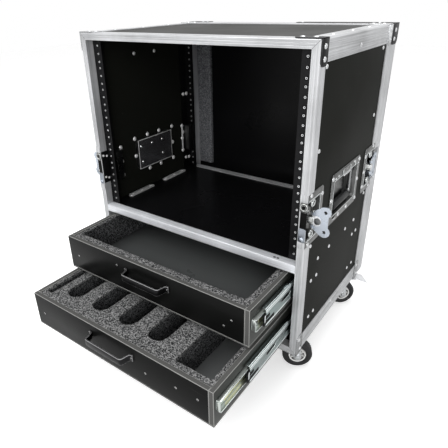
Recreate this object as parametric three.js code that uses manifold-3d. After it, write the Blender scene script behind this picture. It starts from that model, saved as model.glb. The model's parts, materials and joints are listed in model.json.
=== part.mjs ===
// Road case with a rack bay above two drawers, on four casters.
// Millimetres, +Z up. X runs across the case and Y from its front to its rear lid.
// The pieces are placed from the front plane of the body (Y 0) and from the floor (Z 0),
// and the whole case is then set on the middle of its outline.

import * as THREE from 'three';
import { mergeVertices } from 'three/addons/utils/BufferGeometryUtils.js';
import Module from 'manifold-3d';

const wasm = await Module();
wasm.setup();

// Overall sizes of the body and its rear lid. The body's height follows from what it holds
const CASE_WIDTH = 520;
const BODY_DEPTH = 351;
const LID_DEPTH = 42;
const CASTER_HEIGHT = 88;

// Gaps: between pieces that touch, between pieces that slide or turn, and the overrun of a cut
const FIT = 0.2;
const RUN = 0.4;
const OVER = 5;

// Laminated plywood panels
const PLY = 9;

// Aluminium extrusions that bind the edges
const ALU = 1.6;
const FRAME_FACE = 14.5;
const FRAME_LEG = 21.4;
const EDGE_FLAT = 30;
const TOP_EDGE_LEG = 34.4;
const BOTTOM_EDGE_LEG = 38.5;
const RIB_DEPTH = 0.5;
const RIB_WIDTH = 1.4;
const NOSE = 2.2;

// Lid: the tongue reaches into the body, the return stiffens the rim
const TONGUE = 5;
const LID_RETURN = 20;
const LID_BACK_FLAT = 26;
const LID_FOAM_WIDTH = 45;
const LID_FOAM_THICKNESS = 10;
const LID_FOAM_FROM_SIDE = 13;

// Rack rails: eight units of three holes each, to the usual pattern
const RACK_UNITS = 8;
const RACK_UNIT_HEIGHT = 44.45;
const HOLES_PER_UNIT = 3;
const FIRST_HOLE = 6.35;
const HOLE_STEP = 15.875;
const HOLE_FROM_RAIL_EDGE = 16.45;
const HOLE_RADIUS = 3.3;
const RAIL_FACE = 26.5;
const RAIL_WALL = 2;
const RAIL_LEG = 24;
const RAIL_LIP = 5;
const FRONT_RAIL_RECESS = 18.4;
const REAR_RAIL_RECESS = 27.6;
const TOP_OF_RACK_DROP = 20.3;

// Divider between the rack bay and the drawers
const DIVIDER_DROP = 6.4;
const DIVIDER_FACE = 16.5;
const DIVIDER_FLAT = 18.2;

// Drawers, as deep as their slides, which end short of the back of the body.
// The shares say how far of that length each drawer and its middle slide members stand out
const DRAWER_HEIGHT = 78;
const DRAWER_WALL = 10;
const DRAWER_FLOOR = 9;
const DRAWER_RECESS = 18.4;
const DRAWER_SIDE_ROOM = 18.7;
const ROOM_BELOW_DRAWERS = 18;
const ROOM_BETWEEN_DRAWERS = 10;
const ROOM_ABOVE_DRAWERS = 4.2;
const ROOM_BEHIND_SLIDES = 32.6;
const UPPER_DRAWER_OUT_SHARE = 0.505;
const LOWER_DRAWER_OUT_SHARE = 0.857;
const UPPER_MIDDLE_OUT_SHARE = 0.384;
const LOWER_MIDDLE_OUT_SHARE = 0.55;

// Foam inserts of the drawers
const FOAM_BELOW_RIM = 1;
const FOAM_FRONT_RIM = 17;
const FOAM_LEFT_RIM = 5.5;
const FOAM_RIGHT_RIM = 13;
const FOAM_BACK_RIM = 14;
const SLOT_WIDTH = 40;
const SLOT_DEPTH = 52;
const SLOT_PITCH = 76;
const SLOT_FRONT = 28;
const SLOT_FIRST = 62;
const SLOT_COUNT = 4;
const GROOVE_WIDTH = 14;
const GROOVE_DEPTH = 30;
const POCKET_WIDTH = 78;
const POCKET_RADIUS = 4;

// Bow pulls on the drawer fronts
const PULL_HEIGHT = 14;
const PULL_THICKNESS = 3;
const PULL_WIDTH = 92;
const PULL_SPREAD = 101;
const PULL_FOOT = 7;
const PULL_REACH = 23;
const PULL_BEND = 6;
const UPPER_PULL_DROP = 20;
const LOWER_PULL_DROP = 16;

// Ball-bearing drawer slides: outer member on the case, middle member, inner member on the drawer
const SLIDE_THICKNESS = 12.7;
const SLIDE_WALL = 1.2;
const SLIDE_DROP = 33;
const OUTER_HEIGHT = 45.5;
const MIDDLE_HEIGHT = 36.5;
const INNER_HEIGHT = 25;
const OUTER_DEPTH = 9.6;
const MIDDLE_DEPTH = 8.8;
const INNER_DEPTH = 9.4;
const MEMBER_CORNER = 2;
const SLIDE_SLOT_LENGTH = 34;
const SLIDE_SLOT_WIDTH = 7;
const SLIDE_SLOT_COUNT = 3;

// Recessed dishes of the handles and latches
const SHEET = 1.2;
const FITTINGS_ABOVE_DIVIDER = 90.3;
const HANDLE_BEHIND_MIDDLE = 2.9;
const HANDLE_PLATE_LENGTH = 152;
const HANDLE_PLATE_HEIGHT = 104;
const HANDLE_DISH_LENGTH = 125;
const HANDLE_DISH_HEIGHT = 74;
const HANDLE_DISH_DEPTH = 18;
const PLATE_CORNER = 9;
const DISH_CORNER = 7;

// Sprung bail of the handle
const BAIL_RADIUS = 3.5;
const BAIL_SPREAD = 104;
const BAIL_DROP = 53;
const BAIL_BEND = 9;
const BAIL_PIVOT_ABOVE_CENTRE = 28;
const BAIL_PIVOT_DEPTH = 9;
const GRIP_RADIUS = 7;
const GRIP_LENGTH = 84;
const LUG_THICKNESS = 3;
const LUG_SIZE = 13;

// Butterfly latches
const LATCH_PLATE_LENGTH = 65;
const LATCH_PLATE_HEIGHT = 102;
const LATCH_DISH_LENGTH = 50;
const LATCH_DISH_HEIGHT = 72;
const LATCH_DISH_DEPTH = 11;
const STRIKE_PLATE_LENGTH = 34;
const STRIKE_DISH_LENGTH = 26;
const MECHANISM_START = 30.5;
const MECHANISM_LENGTH = 19;
const MECHANISM_HEIGHT = 68;
const MECHANISM_DEPTH = 19;
const HUB_FROM_SEAM = 20.4;
const HUB_BASE_RADIUS = 15;
const HUB_BASE_THICKNESS = 3;
const HUB_RADIUS = 8;
const HUB_PIN_RADIUS = 2;
const HUB_PIN_LENGTH = 36;
const FOLD_AXIS_PROUD = 2.4;
const WING_REACH = 32;
const WING_HALF_WIDTH = 28.5;
const WING_THICKNESS = 2.4;
const WING_EAR_RADIUS = 10;
const WING_HOLE_RADIUS = 3.5;
const WING_NOTCH_RADIUS = 9.5;
const KNUCKLE_RADIUS = 3.6;
const KNUCKLE_LENGTH = 5.5;

// Swivel casters
const CASTER_PLATE_WIDTH = 84;
const CASTER_PLATE_DEPTH = 60;
const CASTER_PLATE_THICKNESS = 3.5;
const CASTER_FROM_SIDE = 50;
const CASTER_FROM_FRONT = 55;
const CASTER_FROM_BACK = 32.6;
const RACE_RADIUS = 22;
const RACE_THICKNESS = 3;
const CROWN_RADIUS = 25;
const CROWN_THICKNESS = 7;
const KINGPIN_RADIUS = 5;
const KINGPIN_HEAD_RADIUS = 8;
const KINGPIN_HEAD_THICKNESS = 3;
const WHEEL_RADIUS = 32;
const WHEEL_WIDTH = 25;
const WHEEL_RIM_RADIUS = 17;
const WHEEL_HUB_RADIUS = 8;
const WHEEL_WEB_RECESS = 5;
const TYRE_SHOULDER = 5;
const AXLE_RADIUS = 4;
const AXLE_HEAD_RADIUS = 6;
const AXLE_HEAD_THICKNESS = 4;
const FORK_WALL = 2.5;
const FORK_GAP = 1.5;
const CASTER_TRAIL = 28;
const PEDAL_PIVOT_TRAIL = 28;
const PEDAL_PIVOT_DROP = 11;
const PEDAL_PIN_RADIUS = 2.5;
const PEDAL_REACH = 88;
const PEDAL_THICKNESS = 3;
const PEDAL_DIP = 10;
const PEDAL_TREAD_WIDTH = 34;
const PEDAL_TREAD_LENGTH = 22;
const FRONT_TRAIL_ANGLE = 30;
const REAR_TRAIL_ANGLE = 42;

// Counts of straight steps in round forms
const HOLE_SIDES = 6;
const ROD_SIDES = 8;
const DISC_SIDES = 12;
const WHEEL_SIDES = 18;
const CORNER_STEPS = 3;

// Levels and faces that several pieces share
const caseBottom = CASTER_HEIGHT;
const lowerDrawerBottom = caseBottom + ROOM_BELOW_DRAWERS;
const upperDrawerBottom = lowerDrawerBottom + DRAWER_HEIGHT + ROOM_BETWEEN_DRAWERS;
const dividerTop = upperDrawerBottom + DRAWER_HEIGHT + ROOM_ABOVE_DRAWERS + DIVIDER_FACE;
const shelfTop = dividerTop - ALU - FIT;
const rackTop = dividerTop + DIVIDER_DROP + RACK_UNITS * RACK_UNIT_HEIGHT;
const caseTop = rackTop + TOP_OF_RACK_DROP;
const bodyHeight = caseTop - caseBottom;
const caseMiddle = (caseBottom + caseTop) / 2;
const fittingZ = dividerTop + FITTINGS_ABOVE_DIVIDER;
const handleY = BODY_DEPTH / 2 + HANDLE_BEHIND_MIDDLE;
const slideLength = BODY_DEPTH - DRAWER_RECESS - ROOM_BEHIND_SLIDES;
const sideX = CASE_WIDTH / 2;
const panelOuterX = sideX - ALU - FIT;
const panelInnerX = panelOuterX - PLY;
const openingX = sideX - FRAME_FACE;
const panelTop = caseTop - ALU - FIT;
const panelBottom = caseBottom + ALU + FIT;
const frameReturn = FRONT_RAIL_RECESS - FIT;
const drawerX = panelInnerX - DRAWER_SIDE_ROOM;
const slideInnerX = drawerX + FIT;
const slideOuterX = slideInnerX + SLIDE_THICKNESS;
const plateFaceX = panelOuterX + FIT + SHEET;

// Materials, each mesh with one of its own
const finishes = {
  laminate: { color: 0x16181a, roughness: 0.42, metalness: 0 },
  aluminium: { color: 0xc9ccd0, roughness: 0.38, metalness: 1 },
  rail: { color: 0x101113, roughness: 0.5, metalness: 0.3 },
  foam: { color: 0x55575a, roughness: 0.95, metalness: 0 },
  zinc: { color: 0xb9bdc0, roughness: 0.3, metalness: 1 },
  pull: { color: 0x0f1012, roughness: 0.4, metalness: 0.2 },
  grip: { color: 0x1c1d1f, roughness: 0.7, metalness: 0 },
  wheel: { color: 0x1a1a1b, roughness: 0.7, metalness: 0 },
};

const roadCase = new THREE.Group();

function addPiece(name, geometry, finish) {
  const material = new THREE.MeshStandardMaterial({ ...finishes[finish], flatShading: true });
  const mesh = new THREE.Mesh(geometry, material);
  mesh.name = name;
  roadCase.add(mesh);
}

// Solids: a closed geometry goes in, and a joined or cut one comes out
function solid(geometry) {
  const bare = geometry.clone();
  bare.deleteAttribute('normal');
  bare.deleteAttribute('uv');
  const merged = mergeVertices(bare, 1e-4);
  const mesh = new wasm.Mesh({
    numProp: 3,
    vertProperties: new Float32Array(merged.attributes.position.array),
    triVerts: new Uint32Array(merged.index.array),
  });
  return new wasm.Manifold(mesh);
}

function geometryOf(body) {
  const mesh = body.getMesh();
  const geometry = new THREE.BufferGeometry();
  geometry.setAttribute('position', new THREE.BufferAttribute(new Float32Array(mesh.vertProperties), 3));
  geometry.setIndex(new THREE.BufferAttribute(new Uint32Array(mesh.triVerts), 1));
  return geometry;
}

function join(...bodies) {
  return bodies.reduce((whole, body) => whole.add(body));
}

// The other hand of a piece, mirrored at a plane across X or Y
function mirrored(geometry, axis, plane = 0) {
  const copy = geometry.clone();
  const position = copy.attributes.position;
  for (let i = 0; i < position.count; i += 1) {
    position.setComponent(i, axis, 2 * plane - position.getComponent(i, axis));
  }
  const index = copy.index.array;
  for (let i = 0; i < index.length; i += 3) {
    [index[i], index[i + 1]] = [index[i + 1], index[i]];
  }
  return copy;
}

function box(x0, x1, y0, y1, z0, z1) {
  const geometry = new THREE.BoxGeometry(x1 - x0, y1 - y0, z1 - z0);
  geometry.translate((x0 + x1) / 2, (y0 + y1) / 2, (z0 + z1) / 2);
  return solid(geometry);
}

// An outline pushed along an axis.
// Its points are (y, z) along x, (x, z) along y and (x, y) along z
function prism(points, axis, from, to) {
  const flip = axis === 'y';
  const outline = points.map(([a, b]) => (flip ? new THREE.Vector2(b, a) : new THREE.Vector2(a, b)));
  const geometry = new THREE.ExtrudeGeometry(new THREE.Shape(outline), {
    depth: to - from,
    steps: 1,
    bevelEnabled: false,
  });
  geometry.translate(0, 0, from);
  const x = new THREE.Vector3(1, 0, 0);
  const y = new THREE.Vector3(0, 1, 0);
  const z = new THREE.Vector3(0, 0, 1);
  const turn = new THREE.Matrix4();
  if (axis === 'x') turn.makeBasis(y, z, x);
  if (axis === 'y') turn.makeBasis(z, x, y);
  geometry.applyMatrix4(turn);
  return solid(geometry);
}

function arc(cx, cy, radius, start, end, steps) {
  const points = [];
  for (let i = 0; i <= steps; i += 1) {
    const angle = start + ((end - start) * i) / steps;
    points.push([cx + radius * Math.cos(angle), cy + radius * Math.sin(angle)]);
  }
  return points;
}

function circle(cx, cy, radius, sides) {
  return arc(cx, cy, radius, 0, 2 * Math.PI, sides).slice(0, sides);
}

function roundedRectangle(a0, a1, b0, b1, radius) {
  const quarter = Math.PI / 2;
  return [
    ...arc(a1 - radius, b1 - radius, radius, 0, quarter, CORNER_STEPS),
    ...arc(a0 + radius, b1 - radius, radius, quarter, 2 * quarter, CORNER_STEPS),
    ...arc(a0 + radius, b0 + radius, radius, 2 * quarter, 3 * quarter, CORNER_STEPS),
    ...arc(a1 - radius, b0 + radius, radius, 3 * quarter, 4 * quarter, CORNER_STEPS),
  ];
}

function rod(axis, ca, cb, radius, from, to, sides = ROD_SIDES) {
  return prism(circle(ca, cb, radius, sides), axis, from, to);
}

// Radius of a bore whose flats clear a pin turning in it
function boreFor(radius, sides = ROD_SIDES) {
  return (radius + RUN) / Math.cos(Math.PI / sides);
}

// A section drawn round the four sides of the case, mitred at the corners.
// Its points are (inset from the outer faces, y)
function mitredRing(section) {
  const corners = [[1, 1], [-1, 1], [-1, -1], [1, -1]];
  const positions = [];
  for (const [sx, sz] of corners) {
    for (const [inset, y] of section) {
      positions.push(sx * (sideX - inset), y, caseMiddle + sz * (bodyHeight / 2 - inset));
    }
  }
  return ringSolid(positions, corners.length, section.length, true);
}

// Joins rings of points into a closed body, round on itself or capped at both ends
function ringSolid(positions, rings, count, looped) {
  const indices = [];
  const last = looped ? rings : rings - 1;
  for (let r = 0; r < last; r += 1) {
    const next = (r + 1) % rings;
    for (let i = 0; i < count; i += 1) {
      const j = (i + 1) % count;
      const a = r * count + i;
      const b = r * count + j;
      const c = next * count + j;
      const d = next * count + i;
      indices.push(a, b, c, a, c, d);
    }
  }
  if (!looped) {
    const end = (rings - 1) * count;
    for (let i = 1; i < count - 1; i += 1) {
      indices.push(0, i + 1, i, end, end + i, end + i + 1);
    }
  }
  const geometry = new THREE.BufferGeometry();
  geometry.setAttribute('position', new THREE.Float32BufferAttribute(positions, 3));
  geometry.setIndex(indices);
  return solid(outwards(geometry));
}

// Turns the faces of a closed geometry outwards, by the sign of its volume
function outwards(geometry) {
  const position = geometry.attributes.position;
  const index = geometry.index.array;
  const [a, b, c] = [new THREE.Vector3(), new THREE.Vector3(), new THREE.Vector3()];
  let volume = 0;
  for (let i = 0; i < index.length; i += 3) {
    a.fromBufferAttribute(position, index[i]);
    b.fromBufferAttribute(position, index[i + 1]);
    c.fromBufferAttribute(position, index[i + 2]);
    volume += a.dot(b.cross(c));
  }
  if (volume < 0) {
    for (let i = 0; i < index.length; i += 3) {
      [index[i], index[i + 1]] = [index[i + 1], index[i]];
    }
  }
  return geometry;
}

// A convex section swept along a bent path that lies in one plane, mitred at its bends.
// Section points are (across the path in its plane, along the plane's normal)
function sweep(section, path, normal) {
  const positions = [];
  for (let i = 0; i < path.length; i += 1) {
    const before = path[Math.max(i - 1, 0)];
    const after = path[Math.min(i + 1, path.length - 1)];
    const here = path[i];
    const inward = (i === 0 ? after.clone().sub(here) : here.clone().sub(before)).normalize();
    const outward = (i === path.length - 1 ? inward.clone() : after.clone().sub(here)).normalize();
    const along = inward.clone().add(outward).normalize();
    const across = new THREE.Vector3().crossVectors(normal, along);
    const stretch = 1 / along.dot(inward);
    for (const [a, b] of section) {
      const point = here.clone().addScaledVector(across, a * stretch).addScaledVector(normal, b);
      positions.push(point.x, point.y, point.z);
    }
  }
  return ringSolid(positions, path.length, section.length, false);
}

// A path with its inner corners rounded
function roundedPath(points, radius) {
  const path = [points[0]];
  for (let i = 1; i < points.length - 1; i += 1) {
    const corner = points[i];
    const towards = points[i - 1].clone().sub(corner).normalize();
    const away = points[i + 1].clone().sub(corner).normalize();
    const half = Math.acos(THREE.MathUtils.clamp(towards.dot(away), -1, 1)) / 2;
    const reach = radius / Math.tan(half);
    const start = corner.clone().addScaledVector(towards, reach);
    const end = corner.clone().addScaledVector(away, reach);
    const bend = new THREE.QuadraticBezierCurve3(start, corner, end);
    path.push(...bend.getPoints(CORNER_STEPS));
  }
  path.push(points[points.length - 1]);
  return path;
}

// Fine ribs along a straight face: groove corners between two places, as (place, depth)
function ribs(from, to, count) {
  const corners = [];
  for (let i = 1; i <= count; i += 1) {
    const middle = from + ((to - from) * i) / (count + 1);
    const half = (Math.sign(to - from) * RIB_WIDTH) / 2;
    corners.push([middle - half, 0], [middle, RIB_DEPTH], [middle + half, 0]);
  }
  return corners;
}

// Front and rear frames: a channel over the panel edges, ribbed on its outer leg,
// with a rounded nose and an inner return back to the rack rails
function frameSection() {
  const quarter = Math.PI / 2;
  return [
    [ALU, FRAME_LEG],
    [0, FRAME_LEG],
    ...ribs(FRAME_LEG, NOSE, 3).map(([y, depth]) => [depth, y]),
    ...arc(NOSE, NOSE, NOSE, 2 * quarter, 3 * quarter, CORNER_STEPS),
    ...ribs(NOSE, FRAME_FACE, 2).map(([inset, depth]) => [inset, depth]),
    [FRAME_FACE, 0],
    [FRAME_FACE, frameReturn],
    [FRAME_FACE - ALU, frameReturn],
    [FRAME_FACE - ALU, ALU],
    [ALU, ALU],
  ];
}

// What a latch takes out of the frame at one side of the body
function latchNotch(side) {
  const half = LATCH_PLATE_HEIGHT / 2 + FIT;
  const near = openingX + ALU + FIT;
  const x0 = side > 0 ? near : -sideX - OVER;
  const x1 = side > 0 ? sideX + OVER : -near;
  return box(x0, x1, -OVER, FRAME_LEG + OVER, fittingZ - half, fittingZ + half);
}

function bodyFrame() {
  return mitredRing(frameSection()).subtract(join(latchNotch(1), latchNotch(-1)));
}

// Angle bar across the opening, over the edge of the shelf
function dividerBar(front, width) {
  const top = dividerTop;
  const outline = [
    [front, top - DIVIDER_FACE],
    [front + ALU, top - DIVIDER_FACE],
    [front + ALU, top - ALU],
    [front + DIVIDER_FLAT, top - ALU],
    ...ribs(front + DIVIDER_FLAT, front, 4).map(([y, depth]) => [y, top - depth]),
    [front, top],
    ...ribs(top, top - DIVIDER_FACE, 2).map(([z, depth]) => [front + depth, z]),
  ];
  outline.splice(4, 0, [front + DIVIDER_FLAT, top]);
  return prism(outline, 'x', -width / 2, width / 2);
}

addPiece('front_frame', geometryOf(bodyFrame()), 'aluminium');
const rearBar = geometryOf(dividerBar(TONGUE + RUN, 2 * openingX + ALU));
const rearFrame = join(bodyFrame(), solid(rearBar));
addPiece('rear_frame', mirrored(geometryOf(rearFrame), 1, BODY_DEPTH / 2), 'aluminium');
addPiece('divider_front_bar', geometryOf(dividerBar(0, 2 * (openingX - FIT))), 'aluminium');

// Long edges between the two frames: angles riveted over the panel edges
function edgeAngle(level, direction, leg) {
  const outline = [
    [sideX - EDGE_FLAT, level],
    [sideX - EDGE_FLAT, level - direction * ALU],
    [sideX - ALU, level - direction * ALU],
    [sideX - ALU, level - direction * leg],
    [sideX, level - direction * leg],
    ...ribs(level - direction * leg, level - direction * NOSE, 4).map(([z, depth]) => [sideX - depth, z]),
    [sideX, level - direction * NOSE],
    [sideX - NOSE, level],
    ...ribs(sideX - NOSE, sideX - EDGE_FLAT, 3).map(([x, depth]) => [x, level - direction * depth]),
  ];
  return prism(outline, 'y', FRAME_LEG + FIT, BODY_DEPTH - FRAME_LEG - FIT);
}

for (const [name, level, direction, leg] of [
  ['edge_top', caseTop, 1, TOP_EDGE_LEG],
  ['edge_bottom', caseBottom, -1, BOTTOM_EDGE_LEG],
]) {
  const geometry = geometryOf(edgeAngle(level, direction, leg));
  addPiece(`${name}_right`, geometry, 'aluminium');
  addPiece(`${name}_left`, mirrored(geometry, 0), 'aluminium');
}

// Pressed dish through the side of the case: a plate on the panel and a pan behind it
function dish(plate, pan, depth) {
  const face = prism(roundedRectangle(...plate, PLATE_CORNER), 'x', panelOuterX + FIT, plateFaceX);
  const [y0, y1, z0, z1] = pan;
  const around = roundedRectangle(y0 - SHEET, y1 + SHEET, z0 - SHEET, z1 + SHEET, DISH_CORNER + SHEET);
  const shell = prism(around, 'x', plateFaceX - depth - SHEET, plateFaceX - SHEET / 2);
  const hollow = prism(roundedRectangle(...pan, DISH_CORNER), 'x', plateFaceX - depth, plateFaceX + OVER);
  return join(face, shell).subtract(hollow);
}

const handlePan = [
  handleY - HANDLE_DISH_LENGTH / 2,
  handleY + HANDLE_DISH_LENGTH / 2,
  fittingZ - HANDLE_DISH_HEIGHT / 2,
  fittingZ + HANDLE_DISH_HEIGHT / 2,
];
const latchPan = [
  -STRIKE_DISH_LENGTH,
  LATCH_DISH_LENGTH,
  fittingZ - LATCH_DISH_HEIGHT / 2,
  fittingZ + LATCH_DISH_HEIGHT / 2,
];

function grown([y0, y1, z0, z1], gap) {
  return [y0 - gap, y1 + gap, z0 - gap, z1 + gap];
}

// Side panel with its handle and latch cut-outs and the four battens that carry the slides
function sidePanel() {
  const board = box(panelInnerX, panelOuterX, ALU + FIT, BODY_DEPTH - ALU - FIT, panelBottom, panelTop);
  const [x0, x1] = [panelInnerX - OVER, panelOuterX + OVER];
  const gap = SHEET + FIT;
  const handleHole = prism(roundedRectangle(...grown(handlePan, gap), DISH_CORNER + gap), 'x', x0, x1);
  const latchHole = prism(roundedRectangle(...grown(latchPan, gap), DISH_CORNER + gap), 'x', x0, x1);
  const rearHole = solid(mirrored(geometryOf(latchHole), 1, BODY_DEPTH / 2));
  const battens = [upperDrawerBottom, lowerDrawerBottom].map((bottom) => {
    const centre = bottom + DRAWER_HEIGHT - SLIDE_DROP;
    const front = DRAWER_RECESS + FIT;
    const inner = slideOuterX + FIT;
    const half = OUTER_HEIGHT / 2;
    return box(inner, panelInnerX + PLY / 2, front, front + slideLength, centre - half, centre + half);
  });
  return join(board, ...battens).subtract(join(handleHole, latchHole, rearHole));
}

const sidePanelGeometry = geometryOf(sidePanel());
addPiece('side_panel_right', sidePanelGeometry, 'laminate');
addPiece('side_panel_left', mirrored(sidePanelGeometry, 0), 'laminate');

const boardX = panelInnerX - FIT;
const boardY0 = ALU + FIT;
const boardY1 = BODY_DEPTH - ALU - FIT;
const topBoard = box(-boardX, boardX, boardY0, boardY1, panelTop - PLY, panelTop);
addPiece('top_panel', geometryOf(topBoard), 'laminate');

// Shelf between the bays, stepped in past the returns of both frames
function dividerShelf() {
  const narrow = openingX - FIT;
  const bottom = shelfTop - PLY;
  const wide = box(-boardX, boardX, FRONT_RAIL_RECESS, BODY_DEPTH - FRONT_RAIL_RECESS, bottom, shelfTop);
  const rear = BODY_DEPTH - TONGUE - RUN - ALU - FIT;
  return join(wide, box(-narrow, narrow, ALU + FIT, rear, bottom, shelfTop));
}
addPiece('divider_shelf', geometryOf(dividerShelf()), 'laminate');

// Bottom panel with the four caster plates bolted under it, their fixed races and kingpins
const plateTop = caseBottom - FIT;
const plateBottom = plateTop - CASTER_PLATE_THICKNESS;
const raceBottom = plateBottom - RACE_THICKNESS;
const crownTop = raceBottom - RUN;
const crownBottom = crownTop - CROWN_THICKNESS;
const casterX = sideX - CASTER_FROM_SIDE;

function casterPlate(x, y) {
  const side = Math.sign(x);
  const halfWidth = CASTER_PLATE_WIDTH / 2;
  const halfDepth = CASTER_PLATE_DEPTH / 2;
  const plateSides = [x - halfWidth, x + halfWidth, y - halfDepth, y + halfDepth];
  const plate = prism(roundedRectangle(...plateSides, PLATE_CORNER), 'z', plateBottom, plateTop);
  const innerEdge = side * (sideX - EDGE_FLAT - FIT);
  const [px0, px1] = [x - side * halfWidth, innerEdge].sort((a, b) => a - b);
  const py0 = Math.max(y - halfDepth, FRAME_LEG + FIT);
  const py1 = Math.min(y + halfDepth, BODY_DEPTH - FRAME_LEG - FIT);
  const packing = box(px0, px1, py0, py1, plateTop - FIT, panelBottom + FIT);
  const race = rod('z', x, y, RACE_RADIUS, raceBottom, plateBottom + FIT, DISC_SIDES);
  const pin = rod('z', x, y, KINGPIN_RADIUS, crownBottom - RUN - FIT, raceBottom + FIT);
  const headTop = crownBottom - RUN;
  const head = rod('z', x, y, KINGPIN_HEAD_RADIUS, headTop - KINGPIN_HEAD_THICKNESS, headTop, HOLE_SIDES);
  return join(plate, packing, race, pin, head);
}

const casterPlaces = [];
for (const [end, y] of [['front', CASTER_FROM_FRONT], ['rear', BODY_DEPTH - CASTER_FROM_BACK]]) {
  casterPlaces.push({ end, side: 'right', sign: 1, x: casterX, y });
  casterPlaces.push({ end, side: 'left', sign: -1, x: -casterX, y });
}
const bottomBoard = box(-boardX, boardX, boardY0, boardY1, panelBottom, panelBottom + PLY);
const plates = casterPlaces.map(({ x, y }) => casterPlate(x, y));
addPiece('bottom_panel', geometryOf(join(bottomBoard, ...plates)), 'laminate');

// Rack rails: an angle with a folded inner lip, punched with the rack holes and
// notched where the latch pans come through the side
function rackRail(recess) {
  const outer = panelInnerX - FIT;
  const inner = outer - RAIL_FACE;
  const outline = [
    [inner, recess],
    [outer, recess],
    [outer, recess + RAIL_LEG],
    [outer - RAIL_WALL, recess + RAIL_LEG],
    [outer - RAIL_WALL, recess + RAIL_WALL],
    [inner + RAIL_WALL, recess + RAIL_WALL],
    [inner + RAIL_WALL, recess + RAIL_LIP],
    [inner, recess + RAIL_LIP],
  ];
  const rail = prism(outline, 'z', dividerTop + FIT, caseTop - FRAME_FACE - FIT);
  const holes = [];
  for (let unit = 0; unit < RACK_UNITS; unit += 1) {
    for (let i = 0; i < HOLES_PER_UNIT; i += 1) {
      const z = rackTop - unit * RACK_UNIT_HEIGHT - FIRST_HOLE - i * HOLE_STEP;
      const [y0, y1] = [recess - RAIL_WALL, recess + 2 * RAIL_WALL];
      holes.push(rod('y', outer - HOLE_FROM_RAIL_EDGE, z, HOLE_RADIUS, y0, y1, HOLE_SIDES));
    }
  }
  const panBack = plateFaceX - LATCH_DISH_DEPTH - SHEET - FIT;
  const half = LATCH_DISH_HEIGHT / 2 + SHEET + FIT;
  const notch = box(
    panBack, outer + OVER, recess - OVER, recess + RAIL_LEG + OVER,
    fittingZ - half, fittingZ + half);
  const room = mechanism(FIT);
  return rail.subtract(join(...holes, notch, room));
}

// Closed housing of the latch mechanism behind its pan
function mechanism(gap) {
  const back = plateFaceX - LATCH_DISH_DEPTH - SHEET;
  const half = MECHANISM_HEIGHT / 2 + gap;
  return box(
    back - MECHANISM_DEPTH - gap, back + FIT,
    MECHANISM_START - gap, MECHANISM_START + MECHANISM_LENGTH + gap,
    fittingZ - half, fittingZ + half);
}

for (const [end, recess] of [['front', FRONT_RAIL_RECESS], ['rear', REAR_RAIL_RECESS]]) {
  const rail = geometryOf(rackRail(recess));
  const placed = end === 'front' ? rail : mirrored(rail, 1, BODY_DEPTH / 2);
  addPiece(`rack_rail_${end}_right`, placed, 'rail');
  addPiece(`rack_rail_${end}_left`, mirrored(placed, 0), 'rail');
}

// Handle dish with the two lugs that hold the bail
const bailX = plateFaceX - BAIL_PIVOT_DEPTH;
const bailZ = fittingZ + BAIL_PIVOT_ABOVE_CENTRE;

function handleDish() {
  const plate = [
    handleY - HANDLE_PLATE_LENGTH / 2,
    handleY + HANDLE_PLATE_LENGTH / 2,
    fittingZ - HANDLE_PLATE_HEIGHT / 2,
    fittingZ + HANDLE_PLATE_HEIGHT / 2,
  ];
  const floor = plateFaceX - HANDLE_DISH_DEPTH;
  const lugs = [1, -1].map((side) => {
    const inner = handleY + side * (BAIL_SPREAD / 2 + BAIL_RADIUS + RUN);
    const [y0, y1] = [inner, inner + side * LUG_THICKNESS].sort((a, b) => a - b);
    const half = LUG_SIZE / 2;
    const ear = box(floor - SHEET / 2, bailX + half, y0, y1, bailZ - half, bailZ + half);
    return ear.subtract(rod('y', bailX, bailZ, boreFor(BAIL_RADIUS), y0 - OVER, y1 + OVER));
  });
  return join(dish(plate, handlePan, HANDLE_DISH_DEPTH), ...lugs);
}

// Bail of bent rod, its ends turned out into the lugs, with a moulded grip on its bar
function handleBail() {
  const half = BAIL_SPREAD / 2;
  const end = half + BAIL_RADIUS + RUN + LUG_THICKNESS;
  const at = (y, z) => new THREE.Vector3(bailX, handleY + y, bailZ + z);
  const arms = [at(-half, 0), at(-half, -BAIL_DROP), at(half, -BAIL_DROP), at(half, 0)];
  const section = circle(0, 0, BAIL_RADIUS, ROD_SIDES);
  const bent = sweep(section, roundedPath(arms, BAIL_BEND), new THREE.Vector3(1, 0, 0));
  const stubs = [1, -1].map((side) => {
    const [y0, y1] = [side * (half - BAIL_RADIUS), side * end].sort((a, b) => a - b);
    return rod('y', bailX, bailZ, BAIL_RADIUS, handleY + y0, handleY + y1);
  });
  const gripSpan = [handleY - GRIP_LENGTH / 2, handleY + GRIP_LENGTH / 2];
  const grip = rod('y', bailX, bailZ - BAIL_DROP, GRIP_RADIUS, ...gripSpan, 2 * HOLE_SIDES);
  return join(bent, ...stubs, grip);
}

const handleDishGeometry = geometryOf(handleDish());
const handleBailGeometry = geometryOf(handleBail());
addPiece('handle_dish_right', handleDishGeometry, 'zinc');
addPiece('handle_dish_left', mirrored(handleDishGeometry, 0), 'zinc');
addPiece('handle_bail_right', handleBailGeometry, 'grip');
addPiece('handle_bail_left', mirrored(handleBailGeometry, 0), 'grip');

// Latch dish, drawn whole across the seam and parted there into the body's half and the lid's
const latchPlate = [
  -STRIKE_PLATE_LENGTH,
  LATCH_PLATE_LENGTH,
  fittingZ - LATCH_PLATE_HEIGHT / 2,
  fittingZ + LATCH_PLATE_HEIGHT / 2,
];

function wholeLatchDish() {
  return dish(latchPlate, latchPan, LATCH_DISH_DEPTH);
}

function seamBlock(y0, y1) {
  const [low, high] = [latchPlate[2] - OVER, latchPlate[3] + OVER];
  return box(openingX - MECHANISM_DEPTH - PLY, sideX + OVER, y0, y1, low, high);
}

function latchDish() {
  const half = wholeLatchDish().intersect(seamBlock(FIT, LATCH_PLATE_LENGTH + OVER));
  return join(half, mechanism(0));
}

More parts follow.
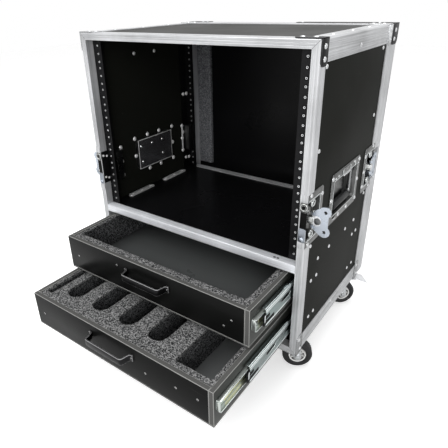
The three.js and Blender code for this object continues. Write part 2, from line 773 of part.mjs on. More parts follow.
// Hub that turns in the dish, with the cross pin that its wing folds on
const hubZ = fittingZ;
const foldX = plateFaceX + FOLD_AXIS_PROUD;

function latchHub() {
  const floor = plateFaceX - LATCH_DISH_DEPTH + FIT;
  const baseTop = floor + HUB_BASE_THICKNESS;
  const base = rod('x', HUB_FROM_SEAM, hubZ, HUB_BASE_RADIUS, floor, baseTop, DISC_SIDES);
  const neck = rod('x', HUB_FROM_SEAM, hubZ, HUB_RADIUS, floor + FIT, foldX + HUB_PIN_RADIUS);
  const half = HUB_PIN_LENGTH / 2;
  const pin = rod('z', foldX, HUB_FROM_SEAM, HUB_PIN_RADIUS, hubZ - half, hubZ + half);
  return join(base, neck, pin);
}

// Butterfly wing: a plate with two rounded ears, a bay round the hub and two rolled knuckles.
// Drawn standing out from the side, in the plane across the hub
const WING_ROOT_SHARES = [[0, 0.56], [0.5, 0.95], [0.86, 0.66], [0.86, -0.66], [0.5, -0.95], [0, -0.56]];

function latchWing() {
  const [y0, y1] = [HUB_FROM_SEAM - WING_THICKNESS / 2, HUB_FROM_SEAM + WING_THICKNESS / 2];
  const outline = WING_ROOT_SHARES.map(([s, t]) => [foldX + s * WING_REACH, hubZ + t * WING_HALF_WIDTH]);
  const earX = foldX + WING_REACH - WING_EAR_RADIUS;
  const earZ = WING_HALF_WIDTH - WING_EAR_RADIUS;
  const ears = [1, -1].map((side) => (
    rod('y', earX, hubZ + side * earZ, WING_EAR_RADIUS, y0, y1, 2 * HOLE_SIDES)));
  const holes = [1, -1].map((side) => (
    rod('y', earX, hubZ + side * earZ, WING_HOLE_RADIUS, y0 - OVER, y1 + OVER, HOLE_SIDES)));
  const bay = rod('y', foldX, hubZ, WING_NOTCH_RADIUS, y0 - OVER, y1 + OVER);
  const knuckles = [];
  const knuckleEnd = WING_NOTCH_RADIUS + KNUCKLE_LENGTH;
  for (const side of [1, -1]) {
    const [z0, z1] = [side * WING_NOTCH_RADIUS, side * knuckleEnd].sort((a, b) => a - b);
    knuckles.push(rod('z', foldX, HUB_FROM_SEAM, KNUCKLE_RADIUS, hubZ + z0, hubZ + z1, HOLE_SIDES));
  }
  const boreRadius = boreFor(HUB_PIN_RADIUS, HOLE_SIDES);
  const boreEnd = knuckleEnd + OVER;
  const bore = rod('z', foldX, HUB_FROM_SEAM, boreRadius, hubZ - boreEnd, hubZ + boreEnd, HOLE_SIDES);
  const plate = prism(outline, 'y', y0, y1);
  return join(plate, ...ears, ...knuckles).subtract(join(...holes, bay, bore));
}

// A wing folded flat towards the seam
function foldedFlat(geometry) {
  const copy = geometry.clone();
  copy.translate(-foldX, -HUB_FROM_SEAM, 0);
  copy.rotateZ(-Math.PI / 2);
  copy.translate(foldX, HUB_FROM_SEAM, 0);
  return copy;
}

const latchDishGeometry = geometryOf(latchDish());
const latchHubGeometry = geometryOf(latchHub());
const wingOut = geometryOf(latchWing());
const wingFlat = foldedFlat(wingOut);
for (const [end, wing] of [['front', wingOut], ['rear', wingFlat]]) {
  for (const [name, geometry] of [
    ['latch_dish', latchDishGeometry],
    ['latch_hub', latchHubGeometry],
    ['latch_wing', wing],
  ]) {
    const placed = end === 'front' ? geometry : mirrored(geometry, 1, BODY_DEPTH / 2);
    addPiece(`${name}_${end}_right`, placed, 'zinc');
    addPiece(`${name}_${end}_left`, mirrored(placed, 0), 'zinc');
  }
}

// Rear lid: a rim that wraps from the seam round the back edge, with its tongue and strike pockets
const seamY = BODY_DEPTH + FIT;
const lidBack = BODY_DEPTH + LID_DEPTH;
const tongueInset = FRAME_FACE + FIT;

function lidRimSection() {
  return [
    [NOSE, seamY],
    [0, seamY + NOSE],
    ...ribs(seamY + NOSE, lidBack - NOSE, 4).map(([y, depth]) => [depth, y]),
    [0, lidBack - NOSE],
    [NOSE, lidBack],
    ...ribs(NOSE, LID_BACK_FLAT, 2).map(([inset, depth]) => [inset, lidBack - depth]),
    [LID_BACK_FLAT, lidBack],
    [LID_BACK_FLAT, lidBack - ALU],
    [ALU, lidBack - ALU],
    [ALU, seamY + ALU],
    [tongueInset, seamY + ALU],
    [tongueInset, seamY + LID_RETURN],
    [tongueInset + ALU, seamY + LID_RETURN],
    [tongueInset + ALU, seamY - TONGUE],
    [tongueInset, seamY - TONGUE],
    [tongueInset, seamY],
  ];
}

// The strike's half of the dish is set in a cut in the rim and laps its edges by one wall
function lidRim() {
  const inner = plateFaceX - LATCH_DISH_DEPTH - SHEET;
  const cutEnd = BODY_DEPTH + STRIKE_PLATE_LENGTH - ALU;
  const cut = box(inner, sideX + OVER, BODY_DEPTH - OVER, cutEnd, latchPlate[2] + ALU, latchPlate[3] - ALU);
  const half = geometryOf(wholeLatchDish().intersect(seamBlock(-STRIKE_PLATE_LENGTH - OVER, -FIT)));
  const strike = mirrored(half, 1, BODY_DEPTH / 2);
  const rim = mitredRing(lidRimSection()).subtract(join(cut, solid(mirrored(geometryOf(cut), 0))));
  return join(rim, solid(strike), solid(mirrored(strike, 0)));
}
addPiece('lid_rim', geometryOf(lidRim()), 'aluminium');

const lidPanelY = lidBack - ALU - FIT;
const lidX = sideX - ALU - FIT;
const lidBoard = box(-lidX, lidX, lidPanelY - PLY, lidPanelY, panelBottom, panelTop);
addPiece('lid_panel', geometryOf(lidBoard), 'laminate');

function lidFoam() {
  const back = lidPanelY - PLY - FIT;
  const top = caseTop - FRAME_FACE - FIT;
  const outer = sideX - LID_FOAM_FROM_SIDE;
  return box(outer - LID_FOAM_WIDTH, outer, back - LID_FOAM_THICKNESS, back, dividerTop, top);
}
const lidFoamGeometry = geometryOf(lidFoam());
addPiece('lid_foam_right', lidFoamGeometry, 'foam');
addPiece('lid_foam_left', mirrored(lidFoamGeometry, 0), 'foam');

// One member of a drawer slide: a channel with turned corners. Its web stands at `web` and
// its flanges reach `depth` from there, towards the drawer (-1) or towards the case (+1)
function channel(web, depth, height, towards) {
  const half = height / 2;
  const x = (offset) => web + towards * offset;
  return [
    [x(MEMBER_CORNER), half],
    [x(depth), half],
    [x(depth), half - SLIDE_WALL],
    [x(MEMBER_CORNER), half - SLIDE_WALL],
    [x(SLIDE_WALL), half - MEMBER_CORNER],
    [x(SLIDE_WALL), MEMBER_CORNER - half],
    [x(MEMBER_CORNER), SLIDE_WALL - half],
    [x(depth), SLIDE_WALL - half],
    [x(depth), -half],
    [x(MEMBER_CORNER), -half],
    [web, MEMBER_CORNER - half],
    [web, half - MEMBER_CORNER],
  ];
}

function member(section, centre, front) {
  const outline = section.map(([x, z]) => [x, centre + z]);
  return prism(outline, 'y', front, front + slideLength);
}

function slideSlots(web, centre, front) {
  const half = SLIDE_SLOT_WIDTH / 2;
  const slots = [];
  for (let i = 1; i <= SLIDE_SLOT_COUNT; i += 1) {
    const middle = front + (slideLength * i) / (SLIDE_SLOT_COUNT + 1);
    const [y0, y1] = [middle - SLIDE_SLOT_LENGTH / 2, middle + SLIDE_SLOT_LENGTH / 2];
    const quarter = Math.PI / 2;
    const outline = [
      ...arc(y1 - half, centre, half, -quarter, quarter, CORNER_STEPS),
      ...arc(y0 + half, centre, half, quarter, 3 * quarter, CORNER_STEPS),
    ];
    slots.push(prism(outline, 'x', web - OVER, web + OVER));
  }
  return join(...slots);
}

const middleWeb = slideOuterX - SLIDE_WALL - RUN;
const innerWeb = slideInnerX;

// Drawer box: the left wall stands behind the front panel, and the right wall runs past its end
function drawerBox(bottom, front, centre) {
  const back = front + slideLength;
  const top = bottom + DRAWER_HEIGHT;
  const shell = box(-drawerX, drawerX, front, back, bottom, top);
  const hollow = box(
    -drawerX + DRAWER_WALL, drawerX - DRAWER_WALL, front + DRAWER_WALL, back - DRAWER_WALL,
    bottom + DRAWER_FLOOR, top + OVER);
  const inner = member(channel(innerWeb, INNER_DEPTH, INNER_HEIGHT, 1), centre, front);
  const right = join(inner, innerFixing(centre, front));
  const left = solid(mirrored(geometryOf(right), 0));
  return join(shell.subtract(hollow), right, left);
}

// Pads under the screws that hold the inner member to the wall of the drawer
function innerFixing(centre, front) {
  const half = INNER_HEIGHT / 4;
  return box(drawerX - FIT, innerWeb + FIT, front, front + slideLength, centre - half, centre + half);
}

function insideOf(bottom, front) {
  return {
    x0: -drawerX + DRAWER_WALL + FIT,
    x1: drawerX - DRAWER_WALL - FIT,
    y0: front + DRAWER_WALL + FIT,
    y1: front + slideLength - DRAWER_WALL - FIT,
    z0: bottom + DRAWER_FLOOR + FIT,
    z1: bottom + DRAWER_HEIGHT - FOAM_BELOW_RIM,
  };
}

// Upper insert: one large pocket inside a rim of foam, open down to the drawer's floor
function upperFoam(bottom, front) {
  const { x0, x1, y0, y1, z0, z1 } = insideOf(bottom, front);
  const outline = roundedRectangle(
    x0 + FOAM_LEFT_RIM, x1 - FOAM_RIGHT_RIM, y0 + FOAM_FRONT_RIM, y1 - FOAM_BACK_RIM, POCKET_RADIUS);
  return box(x0, x1, y0, y1, z0, z1).subtract(prism(outline, 'z', z0 - OVER, z1 + OVER));
}

// Lower insert: four slots with round ends, a narrow groove at the left, and a pocket at the right
function lowerFoam(bottom, front) {
  const { x0, x1, y0, y1, z0, z1 } = insideOf(bottom, front);
  const back = y1 - FOAM_BACK_RIM;
  const half = SLOT_WIDTH / 2;
  const cuts = [];
  for (let i = 0; i < SLOT_COUNT; i += 1) {
    const middle = x0 + SLOT_FIRST + i * SLOT_PITCH;
    const outline = [
      ...arc(middle, y0 + SLOT_FRONT + half, half, -Math.PI, 0, 2 * CORNER_STEPS),
      [middle + half, back],
      [middle - half, back],
    ];
    cuts.push(prism(outline, 'z', z1 - SLOT_DEPTH, z1 + OVER));
  }
  const grooveX = x0 + FOAM_LEFT_RIM;
  cuts.push(box(grooveX, grooveX + GROOVE_WIDTH, y0 + FOAM_RIGHT_RIM, back, z1 - GROOVE_DEPTH, z1 + OVER));
  const pocketX = x1 - FOAM_LEFT_RIM;
  const pocketSides = [pocketX - POCKET_WIDTH, pocketX, y0 + FOAM_RIGHT_RIM, back];
  cuts.push(prism(roundedRectangle(...pocketSides, POCKET_RADIUS), 'z', z0 - OVER, z1 + OVER));
  return box(x0, x1, y0, y1, z0, z1).subtract(join(...cuts));
}

// Pull bent from flat strip, with its two feet on the drawer front
function drawerPull(front, top) {
  const face = front - FIT - PULL_THICKNESS / 2;
  const z = top - PULL_HEIGHT / 2;
  const reach = front - PULL_REACH + PULL_THICKNESS / 2;
  const at = (x, y) => new THREE.Vector3(x, y, z);
  const [foot, root, bow] = [PULL_SPREAD / 2 + PULL_FOOT, PULL_SPREAD / 2, PULL_WIDTH / 2];
  const leftHalf = [at(-foot, face), at(-root, face), at(-bow, reach)];
  const corners = [...leftHalf, at(bow, reach), at(root, face), at(foot, face)];
  const half = PULL_THICKNESS / 2;
  const tall = PULL_HEIGHT / 2;
  const section = [[-half, -tall], [half, -tall], [half, tall], [-half, tall]];
  return sweep(section, roundedPath(corners, PULL_BEND), new THREE.Vector3(0, 0, 1));
}

for (const drawer of [
  {
    name: 'upper', bottom: upperDrawerBottom, outShare: UPPER_DRAWER_OUT_SHARE,
    middleShare: UPPER_MIDDLE_OUT_SHARE, pullDrop: UPPER_PULL_DROP, foam: upperFoam,
  },
  {
    name: 'lower', bottom: lowerDrawerBottom, outShare: LOWER_DRAWER_OUT_SHARE,
    middleShare: LOWER_MIDDLE_OUT_SHARE, pullDrop: LOWER_PULL_DROP, foam: lowerFoam,
  },
]) {
  const { name, bottom } = drawer;
  const front = DRAWER_RECESS - drawer.outShare * slideLength;
  const top = bottom + DRAWER_HEIGHT;
  const centre = top - SLIDE_DROP;
  addPiece(`${name}_drawer_box`, geometryOf(drawerBox(bottom, front, centre)), 'laminate');
  addPiece(`${name}_drawer_foam`, geometryOf(drawer.foam(bottom, front)), 'foam');
  addPiece(`${name}_drawer_pull`, geometryOf(drawerPull(front, top - drawer.pullDrop)), 'pull');
  const outer = member(channel(slideOuterX, OUTER_DEPTH, OUTER_HEIGHT, -1), centre, DRAWER_RECESS);
  const middleFront = DRAWER_RECESS - drawer.middleShare * slideLength;
  const middle = member(channel(middleWeb, MIDDLE_DEPTH, MIDDLE_HEIGHT, -1), centre, middleFront);
  const slotted = middle.subtract(slideSlots(middleWeb, centre, middleFront));
  for (const [part, body] of [['outer', outer], ['middle', slotted]]) {
    const geometry = geometryOf(body);
    addPiece(`${name}_slide_${part}_right`, geometry, 'zinc');
    addPiece(`${name}_slide_${part}_left`, mirrored(geometry, 0), 'zinc');
  }
}

// Caster fork: a round crown with two legs down to the axle, drawn trailing along +X
const wheelZ = WHEEL_RADIUS;
const legInner = WHEEL_WIDTH / 2 + FORK_GAP;
const pedalZ = crownTop - PEDAL_PIVOT_DROP;
const LEG_HEEL_SHARES = [[-0.62, 1], [-0.5, 0.84], [0.55, 0.16]];
const FOOT_ARC_SHARES = [-0.8, 0.1];

function casterFork(braked) {
  const crown = rod('z', 0, 0, CROWN_RADIUS, crownBottom, crownTop, DISC_SIDES);
  const bore = rod('z', 0, 0, boreFor(KINGPIN_RADIUS), crownBottom - OVER, crownTop + OVER);
  const drop = crownTop - wheelZ;
  const heel = LEG_HEEL_SHARES.map(([s, t]) => [s * CROWN_RADIUS, wheelZ + t * drop]);
  const [footStart, footEnd] = FOOT_ARC_SHARES.map((share) => share * Math.PI);
  const footRadius = AXLE_HEAD_RADIUS + FORK_WALL;
  const foot = arc(CASTER_TRAIL, wheelZ, footRadius, footStart, footEnd, 2 * CORNER_STEPS);
  const shoulder = [[PEDAL_PIVOT_TRAIL + 2 * PEDAL_PIN_RADIUS, pedalZ], [CROWN_RADIUS / 2, crownTop]];
  const outline = [...heel, ...foot, ...shoulder];
  const legs = [1, -1].map((side) => {
    const [y0, y1] = [side * legInner, side * (legInner + FORK_WALL)].sort((a, b) => a - b);
    return prism(outline, 'y', y0, y1);
  });
  const outer = legInner + FORK_WALL + AXLE_HEAD_THICKNESS;
  const axle = rod('y', CASTER_TRAIL, wheelZ, AXLE_RADIUS, -outer, outer);
  const heads = [1, -1].map((side) => {
    const [y0, y1] = [side * (legInner + FORK_WALL - FIT), side * outer].sort((a, b) => a - b);
    return rod('y', CASTER_TRAIL, wheelZ, AXLE_HEAD_RADIUS, y0, y1, HOLE_SIDES);
  });
  const body = join(crown, ...legs, axle, ...heads).subtract(bore);
  if (!braked) return body;
  return join(body, rod('y', PEDAL_PIVOT_TRAIL, pedalZ, PEDAL_PIN_RADIUS, -legInner - FIT, legInner + FIT));
}

// Wheel: round-shouldered tyre on a rim, a recessed web and a hub, with the axle's bore.
// It stands on one of its flats, which lies at the wheel's radius
function casterWheel() {
  const half = WHEEL_WIDTH / 2;
  const flats = 1 / Math.cos(Math.PI / WHEEL_SIDES);
  const right = [
    [AXLE_RADIUS + RUN, half],
    [WHEEL_HUB_RADIUS, half],
    [WHEEL_HUB_RADIUS + FORK_WALL, half - WHEEL_WEB_RECESS],
    [WHEEL_RIM_RADIUS, half - FORK_GAP],
    [WHEEL_RADIUS - TYRE_SHOULDER, half - FORK_GAP],
    [WHEEL_RADIUS, half - TYRE_SHOULDER],
  ];
  const left = right.map(([radius, along]) => [radius, -along]).reverse();
  const profile = [...right, ...left, right[0]].map(([radius, along]) => (
    new THREE.Vector2(radius * flats, along)));
  const geometry = new THREE.LatheGeometry(profile, WHEEL_SIDES, Math.PI / WHEEL_SIDES);
  geometry.deleteAttribute('normal');
  geometry.deleteAttribute('uv');
  return outwards(mergeVertices(geometry, 1e-4));
}

// Brake pedal: an arm from its pivot over the tyre, widened to a tread for the foot
function brakePedal() {
  const start = PEDAL_PIVOT_TRAIL;
  const treadStart = PEDAL_REACH - PEDAL_TREAD_LENGTH;
  const half = PEDAL_THICKNESS / 2;
  const barrelRadius = boreFor(PEDAL_PIN_RADIUS) + half;
  const slope = [
    [start, pedalZ + barrelRadius - PEDAL_THICKNESS],
    [treadStart, pedalZ + barrelRadius - PEDAL_THICKNESS],
    [PEDAL_REACH, pedalZ + barrelRadius - PEDAL_THICKNESS - PEDAL_DIP],
    [PEDAL_REACH, pedalZ + barrelRadius - PEDAL_DIP],
    [treadStart, pedalZ + barrelRadius],
    [start, pedalZ + barrelRadius],
  ];
  const narrow = legInner - RUN;
  const wide = prism(slope, 'y', -PEDAL_TREAD_WIDTH / 2, PEDAL_TREAD_WIDTH / 2);
  const arm = prism(slope, 'y', -narrow, narrow);
  const tread = wide.intersect(box(treadStart, PEDAL_REACH, -PEDAL_REACH, PEDAL_REACH, 0, caseBottom));
  const barrel = rod('y', start, pedalZ, barrelRadius, -narrow, narrow);
  const bore = rod('y', start, pedalZ, boreFor(PEDAL_PIN_RADIUS), -narrow - OVER, narrow + OVER);
  return join(arm, tread, barrel).subtract(bore);
}

const forkGeometry = geometryOf(casterFork(false));
const brakedForkGeometry = geometryOf(casterFork(true));
const wheelGeometry = casterWheel();
const pedalGeometry = geometryOf(brakePedal());

// Each caster hangs in a group of its own, turned about its kingpin as it trails
for (const { end, side, sign, x, y } of casterPlaces) {
  const angle = end === 'front' ? FRONT_TRAIL_ANGLE : REAR_TRAIL_ANGLE;
  const trail = sign > 0 ? angle : 180 - angle;
  const caster = new THREE.Group();
  caster.position.set(x, y, 0);
  caster.rotation.z = THREE.MathUtils.degToRad(trail);
  const pieces = [
    ['fork', end === 'front' ? forkGeometry : brakedForkGeometry, 'zinc'],
    ['wheel', wheelGeometry, 'wheel'],
  ];
  if (end === 'rear') pieces.push(['pedal', pedalGeometry, 'zinc']);
  for (const [name, geometry, finish] of pieces) {
    const material = new THREE.MeshStandardMaterial({ ...finishes[finish], flatShading: true });
    const mesh = new THREE.Mesh(geometry.clone(), material);
    mesh.name = `caster_${name}_${end}_${side}`;
    if (name === 'wheel') mesh.position.set(CASTER_TRAIL, 0, wheelZ);
    caster.add(mesh);
  }
  roadCase.add(caster);
}

// The case stands on the middle of its outline
roadCase.updateMatrixWorld(true);
const outline = new THREE.Box3().setFromObject(roadCase, true);
const middle = outline.getCenter(new THREE.Vector3());
roadCase.position.set(-middle.x, -middle.y, -outline.min.z);

export default roadCase;
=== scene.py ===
import bpy
from math import cos, pi, radians, sin
from mathutils import Matrix, Vector, noise
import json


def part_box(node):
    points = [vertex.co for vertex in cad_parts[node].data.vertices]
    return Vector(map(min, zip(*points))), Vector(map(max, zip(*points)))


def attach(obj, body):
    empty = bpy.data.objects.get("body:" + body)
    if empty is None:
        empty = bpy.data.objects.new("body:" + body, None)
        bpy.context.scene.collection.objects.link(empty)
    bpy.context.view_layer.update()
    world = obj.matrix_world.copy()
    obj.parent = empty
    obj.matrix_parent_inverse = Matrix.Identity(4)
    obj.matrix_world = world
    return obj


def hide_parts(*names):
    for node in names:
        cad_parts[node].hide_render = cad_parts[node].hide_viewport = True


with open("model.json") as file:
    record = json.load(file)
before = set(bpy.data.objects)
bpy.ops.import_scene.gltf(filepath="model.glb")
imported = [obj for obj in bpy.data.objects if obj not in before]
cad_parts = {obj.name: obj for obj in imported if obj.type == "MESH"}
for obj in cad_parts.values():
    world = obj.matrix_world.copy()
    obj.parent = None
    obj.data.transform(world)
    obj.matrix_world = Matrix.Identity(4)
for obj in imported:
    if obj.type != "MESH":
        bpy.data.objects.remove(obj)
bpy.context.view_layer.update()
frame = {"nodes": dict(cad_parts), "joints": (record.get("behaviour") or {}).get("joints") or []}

# Camera: held at chest height in front of the case and to its right, a little above its top.
# It stands where the holes of the rack rails line up with the photograph. The frame's front
# plane, front_y, and the case's top, top_z, are what its place is counted from.
(_, front_y, frame_low), (case_side, _, top_z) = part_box("front_frame")
camera_right = Vector((0.806659, 0.590430, -0.026313))
camera_up = Vector((-0.240735, 0.368907, 0.897749))
camera_back = Vector((0.539766, -0.717844, 0.439720))


def started(primitive, **sizes):
    """A new primitive, camera or lamp, selected alone."""
    bpy.ops.object.select_all(action="DESELECT")
    primitive(**sizes)
    return bpy.context.object


camera = started(bpy.ops.object.camera_add)
camera.name = "camera"
turn = Matrix((camera_right, camera_up, camera_back)).transposed().to_4x4()
camera.matrix_world = Matrix.Translation((0.519159, front_y - 0.630699, top_z + 0.0545)) @ turn
camera.data.sensor_width = 36
camera.data.lens = 35.387
camera.data.shift_x = 0.0432
camera.data.shift_y = -0.0215
camera.data.clip_start = 0.01
bpy.context.scene.camera = camera

# Aluminium extrusions: the two frames, the bars over the shelf's edges and the long top and
# bottom edges. Drawn through a die, so fine lines run along every length, mill finished, cut to
# mitres at the frame corners and riveted over the edges of the boards.
solids = frame["nodes"]
aluminium = (0.53, 0.537, 0.548)
# how fine the drawn lines are across and down a length, to the metre
across, down_length = 430, 5
frame_face, lid_face = 0.0145, 0.026
saw_cut = 0.00035


def filled(tree, node, inputs):
    """Gives each input of a shader node its value, or the output that feeds it. A node that
    is given in an output's place stands for its first output."""
    for socket, value in inputs.items():
        if isinstance(value, bpy.types.Node):
            value = value.outputs[0]
        if isinstance(value, bpy.types.NodeSocket):
            tree.links.new(value, node.inputs[socket])
        else:
            node.inputs[socket].default_value = value
    return node


def added(tree, kind, inputs, **settings):
    """A new shader node of the given kind."""
    node = tree.nodes.new(f"ShaderNode{kind}")
    for setting, value in settings.items():
        setattr(node, setting, value)
    return filled(tree, node, inputs)


def worked_out(tree, operation, *values, **settings):
    """A sum on values, outputs and nodes."""
    return added(tree, "Math", dict(enumerate(values)), operation=operation, **settings)


def effect(name, takes, gives):
    """A new node group: the group, what it is given, and the node that its results go to."""
    group = bpy.data.node_groups.new(name, "ShaderNodeTree")
    for in_out, sockets in (("INPUT", takes), ("OUTPUT", gives)):
        for label, kind in sockets.items():
            group.interface.new_socket(label, in_out=in_out, socket_type=f"NodeSocket{kind}")
    return group, group.nodes.new("NodeGroupInput").outputs, group.nodes.new("NodeGroupOutput")


metal_grain, given, made = effect(
    "metal grain",
    {"Place": "Vector", "Grain place": "Vector", "Colour": "Color", "Shade spread": "Float",
     "Roughness": "Float"},
    {"Colour": "Color", "Roughness": "Float", "Height": "Float"})
lines = added(metal_grain, "TexNoise", {"Vector": given["Grain place"], "Scale": 1, "Detail": 3})
smudges = added(metal_grain, "TexNoise", {"Vector": given["Place"], "Scale": 11, "Detail": 5})
both = worked_out(metal_grain, "ADD", lines, smudges)
centred = worked_out(metal_grain, "SUBTRACT", both, 1)
shade = worked_out(metal_grain, "MULTIPLY_ADD", centred, given["Shade spread"], 1)
shaded = added(metal_grain, "VectorMath", {0: given["Colour"], "Scale": shade}, operation="SCALE")
worn = worked_out(metal_grain, "SUBTRACT", smudges, 0.5)
wear = 0.25
rough = worked_out(metal_grain, "MULTIPLY_ADD", worn, wear, given["Roughness"], use_clamp=True)
filled(metal_grain, made, {"Colour": shaded, "Roughness": rough, "Height": lines})


def patterned(name, pattern, relief, pattern_values, shader_values):
    """A material that takes its colour, roughness and relief from an effect."""
    finish = bpy.data.materials.new(name)
    finish.use_nodes = True
    tree = finish.node_tree
    place = added(tree, "TexCoord", {}, name="place").outputs["Object"]
    skin = added(tree, "Group", {}, node_tree=pattern, name="skin")
    filled(tree, skin, {"Place": place, **pattern_values})
    bump = added(tree, "Bump", {"Distance": relief, "Height": skin.outputs["Height"]})
    surface = {"Base Color": skin.outputs["Colour"], "Normal": bump}
    if "Roughness" in skin.outputs:
        surface["Roughness"] = skin.outputs["Roughness"]
    filled(tree, tree.nodes["Principled BSDF"], {**surface, **shader_values})
    return finish


def metal(name, colour, roughness, stretch, spread=0.3, relief=0.00005, metallic=1):
    """A metal whose grain is stretched by the given scales along x, y and z, or by one."""
    scales = stretch if isinstance(stretch, tuple) else (stretch,) * 3
    finish = patterned(
        name, metal_grain, relief,
        {"Colour": (*colour, 1), "Shade spread": spread, "Roughness": roughness},
        {"Metallic": metallic})
    tree = finish.node_tree
    place = tree.nodes["place"].outputs["Object"]
    along = added(tree, "Mapping", {"Vector": place, "Scale": scales}, name="along the grain")
    filled(tree, tree.nodes["skin"], {"Grain place": along})
    return finish


drawn_back = metal("aluminium drawn front to back", aluminium, 0.36,
                   (across, down_length, across), spread=1.15, metallic=0.85)


def mitred_metal(name, frame_node, face):
    """Aluminium whose lines turn with the four lengths of a frame that is face wide in front."""
    low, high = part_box(frame_node)
    finish = metal(name, aluminium, 0.38, (down_length, across, across), spread=1.0, metallic=0.45)
    tree = finish.node_tree
    skin = tree.nodes["skin"]
    place = tree.nodes["place"].outputs["Object"]
    apart = added(tree, "SeparateXYZ", {0: place}).outputs

    def past_inner_edge(coordinate, middle, half):
        """How far a place lies outside the frame's inner edges along one axis."""
        away = worked_out(tree, "ABSOLUTE", worked_out(tree, "SUBTRACT", coordinate, middle))
        return worked_out(tree, "SUBTRACT", away, half - face)

    past_x = past_inner_edge(apart["X"], 0, high[0])
    past_z = past_inner_edge(apart["Z"], (low[2] + high[2]) / 2, (high[2] - low[2]) / 2)
    # a stile's return, which faces the opening, lies within this slack and has its lines too
    slack = -0.0005
    ahead = worked_out(tree, "SUBTRACT", past_x, worked_out(tree, "MAXIMUM", past_z, slack))
    stile = worked_out(tree, "GREATER_THAN", ahead, 0)
    upright = added(tree, "Mapping", {"Vector": place, "Scale": (across, across, down_length)})
    turned = added(tree, "Mix", {
        "Factor": stile, 4: tree.nodes["along the grain"], 5: upright}, data_type="VECTOR")
    filled(tree, skin, {"Grain place": turned.outputs[1]})

    # the saw cut of each mitre shows as a thin dark line
    cut = worked_out(tree, "COMPARE", ahead, 0, saw_cut)
    line = worked_out(tree, "MULTIPLY", cut, worked_out(tree, "GREATER_THAN", past_x, 0))
    darkened = added(tree, "Mix", {
        "Factor": line, 6: skin.outputs["Colour"], 7: (0.08, 0.08, 0.085, 1)}, data_type="RGBA")
    filled(tree, tree.nodes["Principled BSDF"], {"Base Color": darkened.outputs[2]})
    return finish


def coated(piece, *finishes):
    """The piece with these finishes and no others."""
    piece.data.materials.clear()
    for finish in finishes:
        piece.data.materials.append(finish)
    return piece


body_frame_metal = mitred_metal("aluminium of the frames", "front_frame", frame_face)
for end in ("front", "rear"):
    coated(solids[f"{end}_frame"], body_frame_metal)
for side in ("right", "left"):
    coated(solids[f"edge_top_{side}"], drawn_back)
    coated(solids[f"edge_bottom_{side}"], drawn_back)

# Laminate boards: birch ply with a black phenolic film, satin, with a fine pebbled skin that
# shows soft grey reflections and a few light scuffs. The boards stand in the extrusions.
laminate_skin, given, made = effect(
    "laminate skin",
    {"Place": "Vector", "Colour": "Color", "Scuff": "Float", "Roughness": "Float"},
    {"Colour": "Color", "Roughness": "Float", "Height": "Float"})
place = given["Place"]
pebbles = added(laminate_skin, "TexVoronoi", {"Vector": place, "Scale": 620})
clouds = added(laminate_skin, "TexNoise", {"Vector": place, "Scale": 5, "Detail": 6})
rubbed = added(laminate_skin, "MapRange", {
    "Value": clouds, "From Min": 0.35, "From Max": 0.7, "To Min": -0.05, "To Max": 0.09})
rough = worked_out(laminate_skin, "ADD", rubbed, given["Roughness"], use_clamp=True)
slanting = added(laminate_skin, "Mapping", {
    "Vector": place, "Rotation": (0.5, 0.3, 0.7), "Scale": (9, 260, 260)})
scratches = added(laminate_skin, "TexNoise", {"Vector": slanting, "Scale": 1, "Detail": 2})
thin = added(laminate_skin, "MapRange", {"Value": scratches, "From Min": 0.72, "From Max": 0.8})
amount = worked_out(laminate_skin, "MULTIPLY", thin, given["Scuff"])
scuffed = added(laminate_skin, "Mix", {
    "Factor": amount, 6: given["Colour"], 7: (0.09, 0.09, 0.085, 1)}, data_type="RGBA")
filled(laminate_skin, made, {"Colour": scuffed.outputs[2], "Roughness": rough, "Height": pebbles})


def laminate(name, colour, roughness, scuff=0.5, relief=0.00004, shine=0.25):
    """Black phenolic film, or a like thin skin, of the given tint."""
    return patterned(
        name, laminate_skin, relief,
        {"Colour": (*colour, 1), "Scuff": scuff, "Roughness": roughness},
        {"Specular IOR Level": shine})


outer_laminate = laminate("black laminate", (0.011, 0.0113, 0.0095), 0.52, shine=0.2)
# inside the case the black laminate is given a darker colour, painted shade of the interior
inner_laminate_painted_shade = laminate(
    "black laminate inside, darkened as painted shade", (0.004, 0.004, 0.0045), 0.3, scuff=0.1, shine=0.12)
side_laminate = laminate(
    "black laminate of the sides", (0.0105, 0.011, 0.0092), 0.36, shine=0.012)
for node, finish in (
    ("side_panel_right", side_laminate),
    ("side_panel_left", side_laminate),
    ("top_panel", outer_laminate),
    ("divider_shelf", inner_laminate_painted_shade),
):
    coated(solids[node], finish)


# Rivets: domed steel heads, zinc plated, set from outside through the extrusions and boards.
# The four groups low on each side hold the drawer slides; the others hold frame and shelf.
rivet_zinc = metal("rivet zinc", (0.66, 0.67, 0.68), 0.22, 300, spread=0.25)
# the tails inside are painted paler and less metallic, painted light against the shade of the
# interior
tail_zinc_painted_light = metal("zinc of the rivet tails", (0.82, 0.82, 0.82), 0.35, 300, 0.2, metallic=0.3)
(inner_side, _, board_low), (panel_side, _, _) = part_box("side_panel_right")

# one head of radius 1 and height 1 over the plane z = 0, which all the heads are copies of
head_pattern = started(bpy.ops.mesh.primitive_uv_sphere_add, segments=10, ring_count=6, radius=1)
bpy.ops.object.mode_set(mode="EDIT")
bpy.ops.mesh.select_all(action="SELECT")
bpy.ops.mesh.bisect(
    plane_co=(0, 0, 0), plane_no=(0, 0, 1), clear_inner=True, use_fill=True, threshold=0.0001)
bpy.ops.object.mode_set(mode="OBJECT")
bpy.ops.object.shade_smooth_by_angle(angle=radians(50))


def selected(*pieces):
    """Selects these pieces and no others, and makes the first the active one."""
    bpy.ops.object.select_all(action="DESELECT")
    for piece in pieces:
        piece.select_set(True)
    bpy.context.view_layer.objects.active = pieces[0]


def gathered(name, parts, body="case", replaced=()):
    """Joins parts into one finished piece that rides on a body."""
    selected(*parts)
    if len(parts) > 1:
        bpy.ops.object.join()
    bpy.ops.object.transform_apply(location=True, rotation=True, scale=True)
    piece = parts[0]
    piece.name = name
    piece.data.name = name
    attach(piece, body)
    if replaced:
        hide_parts(*replaced)
    return piece


